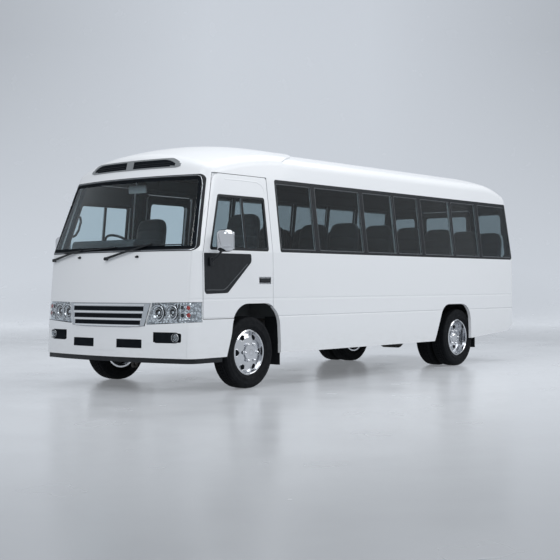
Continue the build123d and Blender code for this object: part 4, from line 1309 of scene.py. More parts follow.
class MINIBUS_OT_fog_lamps(bpy.types.Operator):
    """Model the fog lamps: ring, bowl, bulb and lens"""
    bl_idname = "minibus.fog_lamps"
    bl_label = "Fog lamps"

    def execute(self, context):
        tree = skin("front_bumper")
        lenses = []
        r = FOG_R * 0.78
        for name, side in SIDES:
            head, normal = drop(tree, "front", side * FOG_Y, FOG_Z + FOG_R)
            foot, _ = drop(tree, "front", side * FOG_Y, FOG_Z - FOG_R)
            at = (head + foot) / 2
            ahead = (normal + Vector((1, 0, 0))).normalized()
            lens, silver, dark = bmesh.new(), bmesh.new(), bmesh.new()
            for bm, segments, profile in (
                    (silver, 44, ((0.84, -0.004), (0.86, 0.006), (0.94, 0.009), (1.0, 0.005), (1.0, -0.004))),
                    (dark, 36, ((0, -0.003), (0.85, -0.003), (0.85, 0.002), (0, 0.0022))),
                    (silver, 36, ((0.42, 0.0), (0.45, 0.006), (0.56, 0.006), (0.60, 0.0))),
                    (silver, 24, ((0, 0.0), (0.20, 0.0), (0.20, 0.007), (0.1, 0.009), (0, 0.009))),
                    (lens, 40, ((0, 0.0095), (0.4, 0.009), (0.84, 0.0045), (0.84, 0.0065), (0.4, 0.011),
                                (0, 0.0115)))):
                turned(bm, [(r * share, height) for share, height in profile], at, ahead, segments)
            lenses.append(piece(f"{name}_fog_lens", lens, "clear_lens", "clear_lens", BODY, 50))
            piece(f"{name}_fog_ring", silver, "lamp_silver", "lamp_silver", BODY, 50)
            piece(f"{name}_fog_bowl", dark, "edge_grey", "lamp_silver", BODY, 50)
        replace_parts(lenses[0], "fog_lamps")
        return {"FINISHED"}


TAIL_PARTS = ((0.68, 0.95, "amber_lens"), (0.34, 0.64, "red_lens"), (0.06, 0.30, "white_lens"))
TAIL_INNER, TAIL_OUTER = 0.012, 0.055           # bare margins of the housing
TAIL_RISE, TAIL_SINK, TAIL_RINGS = 0.0022, 0.001, 3


class MINIBUS_OT_tail_lamps(bpy.types.Operator):
    """Divide the tail lamps into turn, brake and reversing parts"""
    bl_idname = "minibus.tail_lamps"
    bl_label = "Tail lamps"

    def execute(self, context):
        tree = skin("tail_lamps")
        for (lo, hi), (name, side) in zip(solids_of("tail_lamps"), reversed(SIDES)):
            inner, outer = sorted((abs(lo.y), abs(hi.y)))
            y0, y1 = side * (inner + TAIL_INNER), side * (outer - TAIL_OUTER)
            tall = hi.z - lo.z
            for low, high, colour in TAIL_PARTS:
                bm = bmesh.new()
                path = rectangle(y0, y1, lo.z + low * tall, lo.z + high * tall, 0.012, 0.02)
                patch(bm, tree, "rear", path, TAIL_RISE, TAIL_SINK, TAIL_RINGS)
                piece(f"{name}_tail_{colour}", bm, colour, "red_lens", BODY, 35)
        return {"FINISHED"}


# ---------------------------------------------------------------- mirrors
MIRROR_LOW, MIRROR_HIGH, MIRROR_ROUND = (2.800, 1.122, 1.380), (2.930, 1.288, 1.598), 0.052
MIRROR_EDGE_Y, MIRROR_EDGE_Z = 0.022, 0.024     # metal left round the glass
MIRROR_ARM = ((0.640, 1.100, 1.284), (0.622, 1.128, 1.315), (0.605, 1.158, 1.345), (0.592, 1.178, 1.375),
              (0.585, 1.190, 1.400))            # ahead of the front axle
MIRROR_ARM_R = 0.0115
MIRROR_FOOT = ((0.612, 1.0880, 1.243), (0.666, 1.1115, 1.325))


def slab_on_side(bm, side, lo, hi, bevel, segments):
    """Slab given for the left side, or mirrored for the right one."""
    y0, y1 = sorted((lo[1] * side, hi[1] * side))
    slab(bm, (lo[0], y0, lo[2]), (hi[0], y1, hi[2]), bevel, segments)


class MINIBUS_OT_mirrors(bpy.types.Operator):
    """Model the door mirrors: plated heads, glass, black arms and feet"""
    bl_idname = "minibus.mirrors"
    bl_label = "Door mirrors"

    def execute(self, context):
        (x0, y0, z0), (_, y1, z1) = MIRROR_LOW, MIRROR_HIGH
        foot_low, foot_high = ((AHEAD + x, y, z) for x, y, z in MIRROR_FOOT)
        for name, side in SIDES:
            shell, arm, pane = bmesh.new(), bmesh.new(), bmesh.new()
            slab_on_side(shell, side, MIRROR_LOW, MIRROR_HIGH, MIRROR_ROUND, 9)
            slab_on_side(pane, side, (x0 - 0.002, y0 + MIRROR_EDGE_Y, z0 + MIRROR_EDGE_Z),
                         (x0 + 0.004, y1 - MIRROR_EDGE_Y, z1 - MIRROR_EDGE_Z), 0.002, 2)
            tube(arm, flip(side, *((AHEAD + x, y, z) for x, y, z in MIRROR_ARM)), MIRROR_ARM_R, 14)
            slab_on_side(arm, side, foot_low, foot_high, 0.009, 4)
            meshes = [to_mesh(material, bm, material)
                      for material, bm in (("chrome", shell), ("black_trim", arm), ("mirror_glass", pane))]
            mirror = joined("mirror", meshes)
            made = piece(f"{name}_mirror_modelled", mirror, None, "chrome", f"{name}_door", 50)
            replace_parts(made, f"{name}_mirror")
        return {"FINISHED"}


# ---------------------------------------------------------------- glazing
SASH_INSET, SASH_WIDTH, SASH_RISE = 0.007, 0.010, 0.004
LATCH_IN, LATCH_UP = 0.024, 0.34
LATCH = [(0, 0.0), (0.011, 0.0), (0.011, 0.004), (0.007, 0.005), (0, 0.005)]
NARROW_PANE = 0.2               # a pane narrower than this does not slide
SEAL_HALF = 0.0105              # half the width of the windscreen's seal
SCREEN_LEAN = 0.1556            # how far the screen's sides lean in for each metre up
SCREEN_STRIP, STRIP_RISE = 0.0045, 0.0022
SCREEN_BORDER, BORDER_INSET, BORDER_RISE = 0.036, 0.025, 0.0012
DOOR_RUBBER, RUBBER_OUT, RUBBER_RISE = 0.030, 0.006, 0.003


class MINIBUS_OT_glazing(bpy.types.Operator):
    """Add the sashes of the side windows and the rubbers of the screen and doors"""
    bl_idname = "minibus.glazing"
    bl_label = "Window rubbers and sashes"

    def execute(self, context):
        tree = skin("window_glass")
        sashes, knobs = bmesh.new(), bmesh.new()
        for lo, hi in solids_of("window_glass"):
            if hi.x - lo.x < NARROW_PANE:
                continue
            view = "left" if hi.y > 0 else "right"
            path = rectangle(lo.x + SASH_INSET, hi.x - SASH_INSET, lo.z + SASH_INSET, hi.z - SASH_INSET,
                             0.02, 0.05)
            ribbon(sashes, tree, view, path, SASH_WIDTH, SASH_RISE, 0.001)
            turned(knobs, LATCH, *drop(tree, view, lo.x + LATCH_IN, lo.z + LATCH_UP), 16)
        # the sashes' lighter grey is a painted highlight along them
        piece("window_sashes", sashes, "edge_grey", "black_trim")
        piece("window_latches", knobs, "black_trim", "black_trim")

        edge, border = bmesh.new(), bmesh.new()
        lo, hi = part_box("windscreen_seal")
        foot, head, wide = lo.z + SEAL_HALF, hi.z - SEAL_HALF, hi.y - SEAL_HALF - 0.002
        narrow = wide - (hi.z - lo.z) * SCREEN_LEAN

        def outline(inset, low_radius, high_radius):
            low, high = foot + inset, head - inset
            wide_in, narrow_in = wide - inset, narrow - inset
            corners = [(-wide_in, low), (wide_in, low), (narrow_in, high), (-narrow_in, high)]
            return rounded(corners, [low_radius, low_radius, high_radius, high_radius])

        ribbon(edge, skin("windscreen_seal"), "front", outline(0, 0.05, 0.075), SCREEN_STRIP,
               STRIP_RISE, 0.001)
        piece("screen_strip", edge, "satin_silver", "chrome")
        ribbon(border, skin("windscreen"), "front", outline(BORDER_INSET, 0.03, 0.05), SCREEN_BORDER,
               BORDER_RISE, 0.001)
        piece("screen_border", border, "flat_black", "black_trim")

        for view, body in (("right", "entry_door"), ("rear", "rear_door")):
            node, bm = f"{body}_glass", bmesh.new()
            lo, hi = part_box(node)
            span = (lo.x, hi.x) if view == "right" else (lo.y, hi.y)
            path = rectangle(span[0] - RUBBER_OUT, span[1] + RUBBER_OUT, lo.z - RUBBER_OUT, hi.z + RUBBER_OUT,
                             0.06, 0.04)
            ribbon(bm, skin(node, body), view, path, DOOR_RUBBER, RUBBER_RISE, 0.004)
            piece(f"{node}_rubber", bm, "black_trim", "black_trim", body)
        return {"FINISHED"}


# ---------------------------------------------------------------- front and body fittings
HANDLE_FROM, HANDLE_Z = 2.040, 1.102
PLATE_HALF, PLATE_LOW, PLATE_HIGH = 0.162, 0.411, 0.525
FOG_Y, FOG_Z, FOG_R = 0.893, 0.546, 0.056
FOG_FROM = 0.640                # the mouth's inner end; the recess behind it is blanked from there inwards
FOG_MOUTH = ([FOG_FROM + (FOG_Y - FOG_FROM) * k / 12 for k in range(13)]
             + [FOG_Y + FOG_R * math.sin(math.pi / 2 * k / 9) for k in range(1, 10)])


FOG_EDGE, FOG_SLANT, FOG_SLANT_LONG = 0.004, 2.2, 0.022


def fog_half(y):
    """Half the height of the fog lamp's mouth, which ends in a half circle round the lamp."""
    reach = max(0.0, min(1.0, (abs(y) - FOG_Y) / FOG_R))
    return (FOG_R - FOG_EDGE) * math.sqrt(1 - reach ** 2) + 0.0005


def fog_high(y):
    """Upper edge of the mouth."""
    return FOG_Z + fog_half(y)


def fog_low(y):
    """Lower edge, which slants at its inner end."""
    return FOG_Z - fog_half(y) + max(0.0, FOG_SLANT_LONG - (abs(y) - FOG_FROM)) * FOG_SLANT


VENT_HALF, VENT_MOUTH, VENT_RISE = 0.655, 0.590, 0.005
VENT_CUT = (2.255, 2.320)
VENT_FOOT, VENT_HEAD = 2.238, 2.340


def vent_low(y):
    """Lower edge of the roof vent's surround, turned up at its tips."""
    return VENT_FOOT + 0.012 * max(0.0, (abs(y) / VENT_HALF - 0.93) / 0.07)


def vent_high(y):
    """Upper edge of the surround, falling to its tips."""
    reach = max(0.0, (abs(y) / VENT_HALF - 0.80) / 0.20)
    return VENT_HEAD - 0.062 * reach ** 1.6


def mouth_high(y):
    """Upper edge of the intakes."""
    reach = max(0.0, (abs(y) / VENT_MOUTH - 0.76) / 0.24)
    return VENT_HEAD - 0.016 - 0.044 * reach ** 1.8


def bridged(tree, cuts):
    """Places on the front that span the given openings (lower and upper height) instead of entering them."""
    def at(y, z):
        for foot, head in cuts:
            if foot < z < head:
                (a, na), (b, nb) = drop(tree, "front", y, foot), drop(tree, "front", y, head)
                share = (z - foot) / (head - foot)
                return a.lerp(b, share), na.lerp(nb, share).normalized()
        return drop(tree, "front", y, z)
    return at


PLATE_SINK = 0.001              # how far a plate's back lies in the skin


def draped_plate(bm, at, ys, low, high, rise, levels=6):
    """Plate laid over the front between two heights, following it closely, or spanning it with one level."""
    fronts, backs = [], []
    for y in ys:
        hits = [at(y, low(y) + (high(y) - low(y)) * k / levels) for k in range(levels + 1)]
        fronts.append([bm.verts.new(place + normal * rise) for place, normal in hits])
        backs.append([bm.verts.new(place - normal * PLATE_SINK) for place, normal in hits])
    closed_grid(bm, fronts, backs)


def spaced(half, count):
    """Even steps from -half to half, count of them on each side of 0."""
    return [half * k / count for k in range(-count, count + 1)]


def between(start, end, count):
    """Even steps from start to end."""
    return [start + (end - start) * k / count for k in range(count + 1)]


def level(z):
    """An edge that keeps one height."""
    return lambda y: z


# heights of the openings in the solid, of the dark slots painted as the shade behind them, and of the bars;
# then half widths
GRILLE_CUTS = ((0.708, 0.747), (0.770, 0.807), (0.830, 0.864))
GRILLE_SLOTS = ((0.803, 0.848, 0.512), (0.732, 0.777, 0.498), (0.667, 0.709, 0.480))
GRILLE_BARS = ((0.7905, 0.512), (0.7205, 0.495), (0.862, 0.520), (0.6575, 0.470))
BAR_HALF = 0.005
GRILLE_FOOT, GRILLE_FLAT = 0.6445, 0.30         # the lower edge's height, and how far out it stays level
GRILLE_RISE = 0.055                             # how far that edge rises for each metre further out
GRILLE_SLANT = 0.0585                           # how far the ends lean in from top to bottom
GRILLE_END_FOOT, GRILLE_END_SHARE = 0.655, 0.985
FRAME_RISE, SLOT_RISE, BAR_RISE = 0.0015, 0.0030, 0.0070


class MINIBUS_OT_grille(bpy.types.Operator):
    """Model the grille: silver frame over its openings, dark slots that paint the shade behind them, and
    rounded bars
    """
    bl_idname = "minibus.grille"
    bl_label = "Grille"

    def execute(self, context):
        _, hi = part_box("grille")
        at = bridged(skin("grille"), GRILLE_CUTS)
        frame_bm, dark, bright = bmesh.new(), bmesh.new(), bmesh.new()
        slope = GRILLE_SLANT / (hi.z - GRILLE_END_FOOT)
        reach = hi.y - 0.003

        def foot(y):
            beside = max(0.0, abs(y) - GRILLE_FLAT)
            edge = max(0.0, abs(y) - (reach - GRILLE_SLANT))
            return GRILLE_FOOT + beside * GRILLE_RISE + edge / slope * GRILLE_END_SHARE

        draped_plate(frame_bm, at, spaced(reach, 60), foot, level(hi.z - 0.0015), FRAME_RISE, 14)
        # painted shade: dark plates where the openings are
        for low, high, half in GRILLE_SLOTS:
            draped_plate(dark, at, spaced(half, 24), level(low), level(high), SLOT_RISE, 4)
        for z, half in GRILLE_BARS:
            draped_plate(bright, at, spaced(half, 24), level(z - BAR_HALF), level(z + BAR_HALF), BAR_RISE, 2)
        made = piece("grille_frame", frame_bm, "satin_silver", "chrome")
        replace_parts(made, "grille")
        piece("grille_slot_shades", dark, "flat_black", "black_trim")
        piece("grille_bars", bright, "bright_silver", "chrome")
        return {"FINISHED"}


INTAKE_FROM, INTAKE_RIM = 0.052, 0.013
BLADE_FROM, BLADE_LENGTH, BLADE_T, BLADE_Z = 0.070, 0.465, 0.0035, (2.268, 2.287)


def roof_vent():
    """Grey surround, dark intakes painted as the shade inside the vent's openings, and blades over the cap's
    brow.
    """
    at = bridged(skin("roof_vent", "roof_panel", "roof_cap"), [VENT_CUT])
    grey, dark, blades = bmesh.new(), bmesh.new(), bmesh.new()
    spread = [VENT_HALF * math.sin(math.pi / 2 * k / 24) for k in range(-24, 25)]
    draped_plate(grey, at, spread, vent_low, vent_high, VENT_RISE)
    for side in (1, -1):
        ys = [side * y for y in between(INTAKE_FROM, VENT_MOUTH, 20)]
        # painted shade: dark plates where the intakes open
        draped_plate(dark, at, ys, lambda y: vent_low(y) + INTAKE_RIM, mouth_high, VENT_RISE + 0.0012)
        ys = [side * y for y in between(BLADE_FROM, BLADE_FROM + BLADE_LENGTH, 14)]
        for z in BLADE_Z:
            draped_plate(blades, at, ys, level(z), level(z + BLADE_T), VENT_RISE + 0.004, 1)
    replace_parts(piece("vent_surround", grey, "vent_grey", "black_trim"), "roof_vent")
    piece("vent_intake_shades", dark, "flat_black", "black_trim")
    piece("vent_blades", blades, "black_trim", "black_trim")


NOZZLES = ((-0.477, 1.346), (0.388, 1.341))     # y and z
NOZZLE_FOOT = [(0, -0.004), (0.013, -0.004), (0.013, 0.006), (0.009, 0.010), (0, 0.010)]
NOZZLE_HEAD = (Vector((-0.002, -0.024, -0.010)), Vector((0.014, 0.020, 0.006)))


def washer_nozzles():
    """Two nozzles on round feet, below the windscreen."""
    tree, bm = skin("nose_panel"), bmesh.new()
    for y, z in NOZZLES:
        at, normal = drop(tree, "front", y, z)
        turned(bm, NOZZLE_FOOT, at, normal, 20)
        slab(bm, *(at + corner for corner in NOZZLE_HEAD), 0.005, 3)
    piece("washer_nozzles", bm, "black_trim", "black_trim")


# x ahead of the front axle and z along each open strip of a cab door
CORNER_BEAD = ((0.700, 1.008), (0.430, 1.008), (0.085, 1.268))
DOOR_SWAGE = ((0.330, 2.118), (0.100, 2.124), (-0.165, 2.120), (-0.238, 2.094), (-0.268, 2.050),
              (-0.275, 2.010))
BEAD_ROUND, BEAD_WIDE, BEAD_RISE = 0.045, 0.006, 0.0018
SWAGE_ROUND, SWAGE_WIDE, SWAGE_RISE = 0.06, 0.014, 0.0022
HANDLE_STEP, HANDLE_WIDE, HANDLE_RISE = 0.0152, 0.024, 0.0022
ENTRY_HANDLE, CUP_HALF_X, CUP_HALF_Z = (AHEAD - 1.130, 1.080), 0.080, 0.040
LEVER_HALF, LEVER_UP, LEVER_WIDE, LEVER_RISE = 0.062, 0.004, 0.040, 0.009


def strip(name, node, view, path, width, rise, material, slot, body):
    """Open moulded strip on a node's skin, as a piece of its own."""
    bm = bmesh.new()
    ribbon(bm, skin(node), view, path, width, rise, 0.001, False)
    piece(name, bm, material, slot, body)


def door_fittings():
    """Bead round the dark corner panel, swage over the window and handle of each cab door; the entry door's
    handle in its cup."""
    bead = rounded([(AHEAD + x, z) for x, z in CORNER_BEAD], BEAD_ROUND, closed=False)
    swage = rounded([(AHEAD + x, z) for x, z in DOOR_SWAGE], SWAGE_ROUND, closed=False)
    handle = [(HANDLE_FROM + HANDLE_STEP * k, HANDLE_Z) for k in range(11)]
    for title, node, path, width, rise, material, slot in (
            # the bead's lighter grey is a painted highlight round the dark corner panel
            ("{}_corner_bead", "{}_door_frame", bead, BEAD_WIDE, BEAD_RISE, "edge_grey", "black_trim"),
            ("{}_door_swage", "{}_door", swage, SWAGE_WIDE, SWAGE_RISE, "body_paint", "body_paint"),
            ("{}_door_handle", "{}_door_frame", handle, HANDLE_WIDE, HANDLE_RISE, "black_trim",
             "black_trim")):
        for name, _ in SIDES:
            strip(title.format(name), node.format(name), name, path, width, rise, material, slot,
                  f"{name}_door")
    cup = bmesh.new()
    x, z = ENTRY_HANDLE
    outline = rectangle(x - CUP_HALF_X, x + CUP_HALF_X, z - CUP_HALF_Z, z + CUP_HALF_Z, 0.034, 0.02)
    patch(cup, skin("entry_door"), "right", outline, 0.0018, 0.003, 3)
    piece("entry_door_handle_cup", cup, "flat_black", "black_trim", "entry_door")
    lever = [(x + reach, z + LEVER_UP) for reach in spaced(LEVER_HALF, 5)]
    strip("entry_door_handle", "entry_door", "right", lever, LEVER_WIDE, LEVER_RISE, "black_trim",
          "black_trim", "entry_door")


FILLER_X, FILLER_Z = (2.715, 2.850), (2.105, 2.200)
FILLER_BEHIND, FILLER_T = 0.004, 0.003


def corner_fillers():
    """Plates that close the gap between each cab door's rounded top corner and the pillar."""
    bm = bmesh.new()
    for name, side in SIDES:
        tree = skin(f"{name}_door", f"{name}_wall", "nose_panel", "roof_panel")
        layers = []
        for back in (FILLER_BEHIND, FILLER_BEHIND + FILLER_T):
            shift = Vector((0, back * side, 0))
            layers.append([[bm.verts.new(drop(tree, name, x, z)[0] - shift) for z in FILLER_Z]
                           for x in FILLER_X])
        closed_grid(bm, *layers)
    piece("door_corner_fillers", bm, "body_paint", "body_paint")


# y at each end, lower and upper edge
BLANK_FROM, BLANK_LOW, BLANK_HIGH = 0.545, 0.490, 0.600
MOUTH_FROM, MOUTH_TO, MOUTH_LOW, MOUTH_HIGH = 0.170, 0.500, 0.438, 0.524
MOUTH_FLAT, MOUTH_FALL = 0.46, 0.05             # the upper edge falls beyond this y, by this for each metre
PAD_RISE, MOUTH_RISE, BLANK_RISE = 0.003, 0.0015, 0.0010


def bumper_plates():
    """Bare number plate, dark mouths, and blanks over what the mouths leave of the bumper's recesses."""
    at = bridged(skin("front_bumper"), ())
    pads, mouths, blanks = bmesh.new(), bmesh.new(), bmesh.new()
    draped_plate(pads, at, spaced(PLATE_HALF, 12), level(PLATE_LOW), level(PLATE_HIGH), PAD_RISE, 1)
    for side in (1, -1):
        ys = [side * y for y in between(MOUTH_FROM, MOUTH_TO, 12)]
        draped_plate(mouths, at, ys, level(MOUTH_LOW),
                     lambda y: MOUTH_HIGH - MOUTH_FALL * max(0, abs(y) - MOUTH_FLAT), MOUTH_RISE, 1)
        ys = [side * y for y in between(BLANK_FROM, FOG_FROM, 6)]
        draped_plate(blanks, at, ys, level(BLANK_LOW), level(BLANK_HIGH), BLANK_RISE, 1)
        draped_plate(mouths, at, [side * y for y in FOG_MOUTH], fog_low, fog_high, MOUTH_RISE, 1)
    piece("number_plate_pad", pads, "body_paint", "body_paint")
    piece("bumper_blanks", blanks, "body_paint", "body_paint")
    piece("bumper_mouths", mouths, "flat_black", "black_trim")


class MINIBUS_OT_fittings(bpy.types.Operator):
    """Add the roof vent, washer nozzles, door beads, swages and handles, corner fillers and bumper plates"""
    bl_idname = "minibus.fittings"
    bl_label = "Body fittings"

    def execute(self, context):
        roof_vent()
        washer_nozzles()
        door_fittings()
        corner_fillers()
        bumper_plates()
        return {"FINISHED"}


REAR_VIEW_LOW, REAR_VIEW_HIGH = (0.556, -0.130, 2.010), (0.582, 0.130, 2.096)
REAR_VIEW_STALK = ((0.578, 0, 2.085), (0.590, 0, 2.120), (0.600, 0, 2.150))
GRAB_HANDLE = ((0.596, 0.985, 1.59), (0.606, 0.930, 1.605), (0.590, 0.900, 1.66), (0.560, 0.900, 1.75),
               (0.540, 0.930, 1.80), (0.525, 0.985, 1.81))
WHEEL_TILT = math.radians(40)
WHEEL_GRIP, WHEEL_INSET, WHEEL_DROP = 0.0135, 0.200, 0.084
WHEEL_POINTS = 56
SPOKE_R, SPOKE_FROM, SPOKE_BEND = 0.009, (0.03, 0.030), (0.11, 0.022)   # out from the hub, and below it
COLUMN_R, COLUMN_FROM, COLUMN_TO = 0.024, 0.050, 0.300
SPOKES = (math.radians(100), math.radians(-100), math.pi)
WHEEL_BOSS = [(0, -0.055), (0.030, -0.055), (0.058, -0.038), (0.062, -0.016), (0.050, -0.006), (0, -0.003)]
DIAL_Y, DIAL_Z = (-0.60, -0.47), 1.46
DIAL_FACE = [(0, 0), (0.050, 0), (0.050, 0.003), (0, 0.003)]
DIAL_RING = [(0.050, 0), (0.050, 0.008), (0.056, 0.008), (0.058, 0)]
VENT_Y, VENT_Z = (-0.80, -0.15, 0.35, 0.80), 1.16
VENT_RING = [(0.030, 0), (0.030, 0.006), (0.042, 0.006), (0.044, 0)]
SLAT_STEP, SLAT = 0.014, (Vector((-0.004, -0.030, -0.002)), Vector((0.001, 0.030, 0.002)))


def ahead_of_axle(points):
    """Points given from the front axle."""
    return [(AHEAD + x, y, z) for x, y, z in points]


def interior_mirror():
    """Mirror on its stalk, over the windscreen's middle."""
    bm = bmesh.new()
    slab(bm, *ahead_of_axle((REAR_VIEW_LOW, REAR_VIEW_HIGH)), 0.012, 3)
    tube(bm, ahead_of_axle(REAR_VIEW_STALK), 0.007, 10)
    piece("interior_mirror", bm, "vent_grey", "cab_plastic")


def cab_handles():
    """Bent grab handle on each windscreen pillar."""
    bm = bmesh.new()
    for side in (1, -1):
        tube(bm, flip(side, *ahead_of_axle(GRAB_HANDLE)), 0.013, 10)
    piece("cab_handles", bm, "black_trim", "cab_plastic")


def steering_wheel():
    """Rim, three spokes, boss and column, tilted towards the driver."""
    lo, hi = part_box("steering_wheel")
    ahead = Vector((math.cos(WHEEL_TILT), 0, math.sin(WHEEL_TILT)))
    up = Vector((-math.sin(WHEEL_TILT), 0, math.cos(WHEEL_TILT)))
    reach = (hi.y - lo.y) / 2 - WHEEL_GRIP
    hub = Vector((lo.x + WHEEL_INSET, (lo.y + hi.y) / 2, hi.z - WHEEL_DROP))

    def outward(angle):
        return math.cos(angle) * ahead + Vector((0, math.sin(angle), 0))

    bm = bmesh.new()
    ring = [hub + reach * outward(TAU * k / WHEEL_POINTS) for k in range(WHEEL_POINTS)]
    tube(bm, ring, WHEEL_GRIP, 12, True)
    for spoke in map(outward, SPOKES):
        bends = [hub + spoke * out - up * below for out, below in (SPOKE_FROM, SPOKE_BEND, (reach, 0))]
        tube(bm, bends, SPOKE_R, 8)
    turned(bm, WHEEL_BOSS, hub, up, 36)
    tube(bm, [hub - up * COLUMN_FROM, hub - up * COLUMN_TO], COLUMN_R, 16)
    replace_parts(piece("steering_wheel_modelled", bm, "black_trim", "cab_plastic"), "steering_wheel")


def dashboard_fittings():
    """Two dials in front of the driver and four round vents with slats."""
    faces, rings, tree = bmesh.new(), bmesh.new(), skin("dashboard")
    for y in DIAL_Y:
        at, normal = drop(tree, "driver", y, DIAL_Z)
        turned(faces, DIAL_FACE, at, normal, 32)
        turned(rings, DIAL_RING, at, normal, 32)
    for y in VENT_Y:
        at, normal = drop(tree, "driver", y, VENT_Z)
        turned(rings, VENT_RING, at, normal, 28)
        for k in (-1, 0, 1):
            middle = at + Vector((0, 0, SLAT_STEP * k))
            slab(rings, *(middle + corner for corner in SLAT))
    piece("dials", faces, "white_lens", "cab_plastic")
    piece("dash_vents", rings, "black_trim", "cab_plastic")


class MINIBUS_OT_cabin(bpy.types.Operator):
    """Add the interior mirror, grab handles, steering wheel, and the dashboard's dials and vents"""
    bl_idname = "minibus.cabin"
    bl_label = "Cabin fittings"

    def execute(self, context):
        interior_mirror()
        cab_handles()
        steering_wheel()
        dashboard_fittings()
        return {"FINISHED"}


AIR_TANK = [(0, 0), (0.06, 0.004), (0.095, 0.022), (0.105, 0.06), (0.105, 0.40), (0.095, 0.438),
            (0.06, 0.456), (0, 0.46)]
AIR_TANKS_X, AIR_TANKS_Y, AIR_TANKS_Z = (AHEAD - 2.30, AHEAD - 2.85), -0.62, 0.50
RAIL_BOLT = [(0, -0.003), (0.012, -0.003), (0.012, 0.007), (0.009, 0.009), (0, 0.009)]
RAIL_BOLTS, BOLTS_FROM_END, BOLTS_FROM_EDGE = 24, 0.2, 0.03


class MINIBUS_OT_underbody(bpy.types.Operator):
    """Add the air tanks and rows of bolts on the frame's rails"""
    bl_idname = "minibus.underbody"
    bl_label = "Underbody"

    def execute(self, context):
        bm = bmesh.new()
        for x in AIR_TANKS_X:
            turned(bm, AIR_TANK, (x, AIR_TANKS_Y, AIR_TANKS_Z), (1, 0, 0), 36)
        piece("air_tanks", bm, "chassis_paint", "chassis_paint")
        bm = bmesh.new()
        turned(bm, RAIL_BOLT, (0, 0, 0), (0, 1, 0), 6)
        left_bolt = to_mesh("bolt", bm)
        right_bolt = left_bolt.copy()
        right_bolt.transform(Matrix.Scale(-1, 4, (0, 1, 0)))
        right_bolt.flip_normals()
        rows = []
        for lo, hi in solids_of("chassis_rails"):
            y, bolt = (hi.y, left_bolt) if hi.y > 0 else (lo.y, right_bolt)
            step = (hi.x - lo.x - 2 * BOLTS_FROM_END) / (RAIL_BOLTS - 1)
            for z in (lo.z + BOLTS_FROM_EDGE, hi.z - BOLTS_FROM_EDGE):
                rows.append(repeated("bolts", bolt.copy(), row_tree, "steel", Count=RAIL_BOLTS,
                                     Start=Vector((lo.x + BOLTS_FROM_END, y, z)), Step=Vector((step, 0, 0))))
        piece("rail_bolts", joined("bolts", rows), None, "steel", BODY, 30)
        return {"FINISHED"}


# ---------------------------------------------------------------- stage
CAMERA_AT = (11.167, 8.643, 1.045)
CAMERA_YAW, CAMERA_PITCH, CAMERA_ROLL = -140.88, 0.30, -0.2
LENS, SENSOR = 73.44, 36
BACKDROP_YAW = -140.88          # the backdrop is square to this direction and starts from this place
BACKDROP_FROM = (11.167, 8.643)


def area_lamp(name, place, target, size, power):
    """Rectangular light at a place, aimed at a target."""
    data = bpy.data.lights.new(name, "AREA")
    data.shape = "RECTANGLE"
    data.size, data.size_y = size
    data.energy = power
    lamp = bpy.data.objects.new(name, data)
    bpy.context.scene.collection.objects.link(lamp)
    lamp.location = place
    lamp.rotation_euler = (Vector(target) - Vector(place)).to_track_quat("-Z", "Y").to_euler()


def pale_floor():
    """Smooth pale floor and backdrop, softly lit from within, its gradients painted shade and light."""
    setting = bpy.context.scene.minibus_stage
    colour = tuple(setting.floor)
    f = Finish("stage_floor", colour, 0.24)
    f.set("Specular IOR Level", 0.5).set("Emission Strength", setting.glow)
    # painted shade: darker overhead
    f.stain(f.axis("Z"), 1.0, 12.0, 1.0, shade(colour, 0.66))
    span = f.node("ShaderNodeVectorMath", operation="LENGTH")
    f.link(f.stretched((1, 1, 0)), span.inputs[0])
    # painted shade and light: darker round the bus, lighter far off
    f.stain(span.outputs["Value"], 3.0, 10.0, 0.72, shade(colour, 0.62))
    f.stain(span.outputs["Value"], 9.0, 22.0, 1.0, shade(colour, 1.58))
    # painted shade: darker high up on each side
    across = f.node("ShaderNodeVectorMath", operation="DOT_PRODUCT")
    yaw = math.radians(BACKDROP_YAW)
    across.inputs[1].default_value = (-math.sin(yaw), math.cos(yaw), 0)
    f.link(f.coords, across.inputs[0])
    aside = f.spread(f.maths("ABSOLUTE", across.outputs["Value"]), 2.8, 10.5, 0.0, 0.42)
    f.tint(f.maths("MULTIPLY", aside, f.spread(f.axis("Z"), 1.5, 9.5, 0.0, 1.0)), shade(colour, 0.55))
    f.link(f.shader.inputs["Base Color"].links[0].from_socket, f.shader.inputs["Emission Color"])
    f.rough(f.noise(1.6, 3.0), 0.20, 0.28)
    return f.material


WALL_NEAR, WALL_BEND, WALL_TOP, WALL_HALF = 30.0, 9.0, 22.0, 60
BEND_STEPS = 24


def sweep():
    """Floor that curves up into a backdrop behind the bus."""
    yaw = math.radians(BACKDROP_YAW)
    run = Vector((math.cos(yaw), math.sin(yaw), 0))
    side = Vector((-run.y, run.x, 0))
    start = Vector((*BACKDROP_FROM, 0))
    profile = [(-30.0, 0.0), (-5.0, 0.0), (5.0, 0.0), (WALL_NEAR, 0.0)]
    for k in range(1, BEND_STEPS + 1):
        a = k / BEND_STEPS * math.pi / 2
        profile.append((WALL_NEAR + WALL_BEND * math.sin(a), WALL_BEND * (1 - math.cos(a))))
    profile.append((WALL_NEAR + WALL_BEND, WALL_TOP))
    bm = bmesh.new()
    rows = [[bm.verts.new(start + run * d + side * w + Vector((0, 0, z))) for w in (-WALL_HALF, 0, WALL_HALF)]
            for d, z in profile]
    for a, b in zip(rows, rows[1:]):
        for k in range(2):
            bm.faces.new((a[k], a[k + 1], b[k + 1], b[k]))
    mesh = to_mesh("floor", bm)
    if mesh.polygons[0].normal.z < 0:
        mesh.flip_normals()
    return mesh


SKY, SKY_STRENGTH = (0.80, 0.84, 0.90, 1), 0.55
SEEN, SEEN_STRENGTH = (0.60, 0.63, 0.67, 1), 1.0


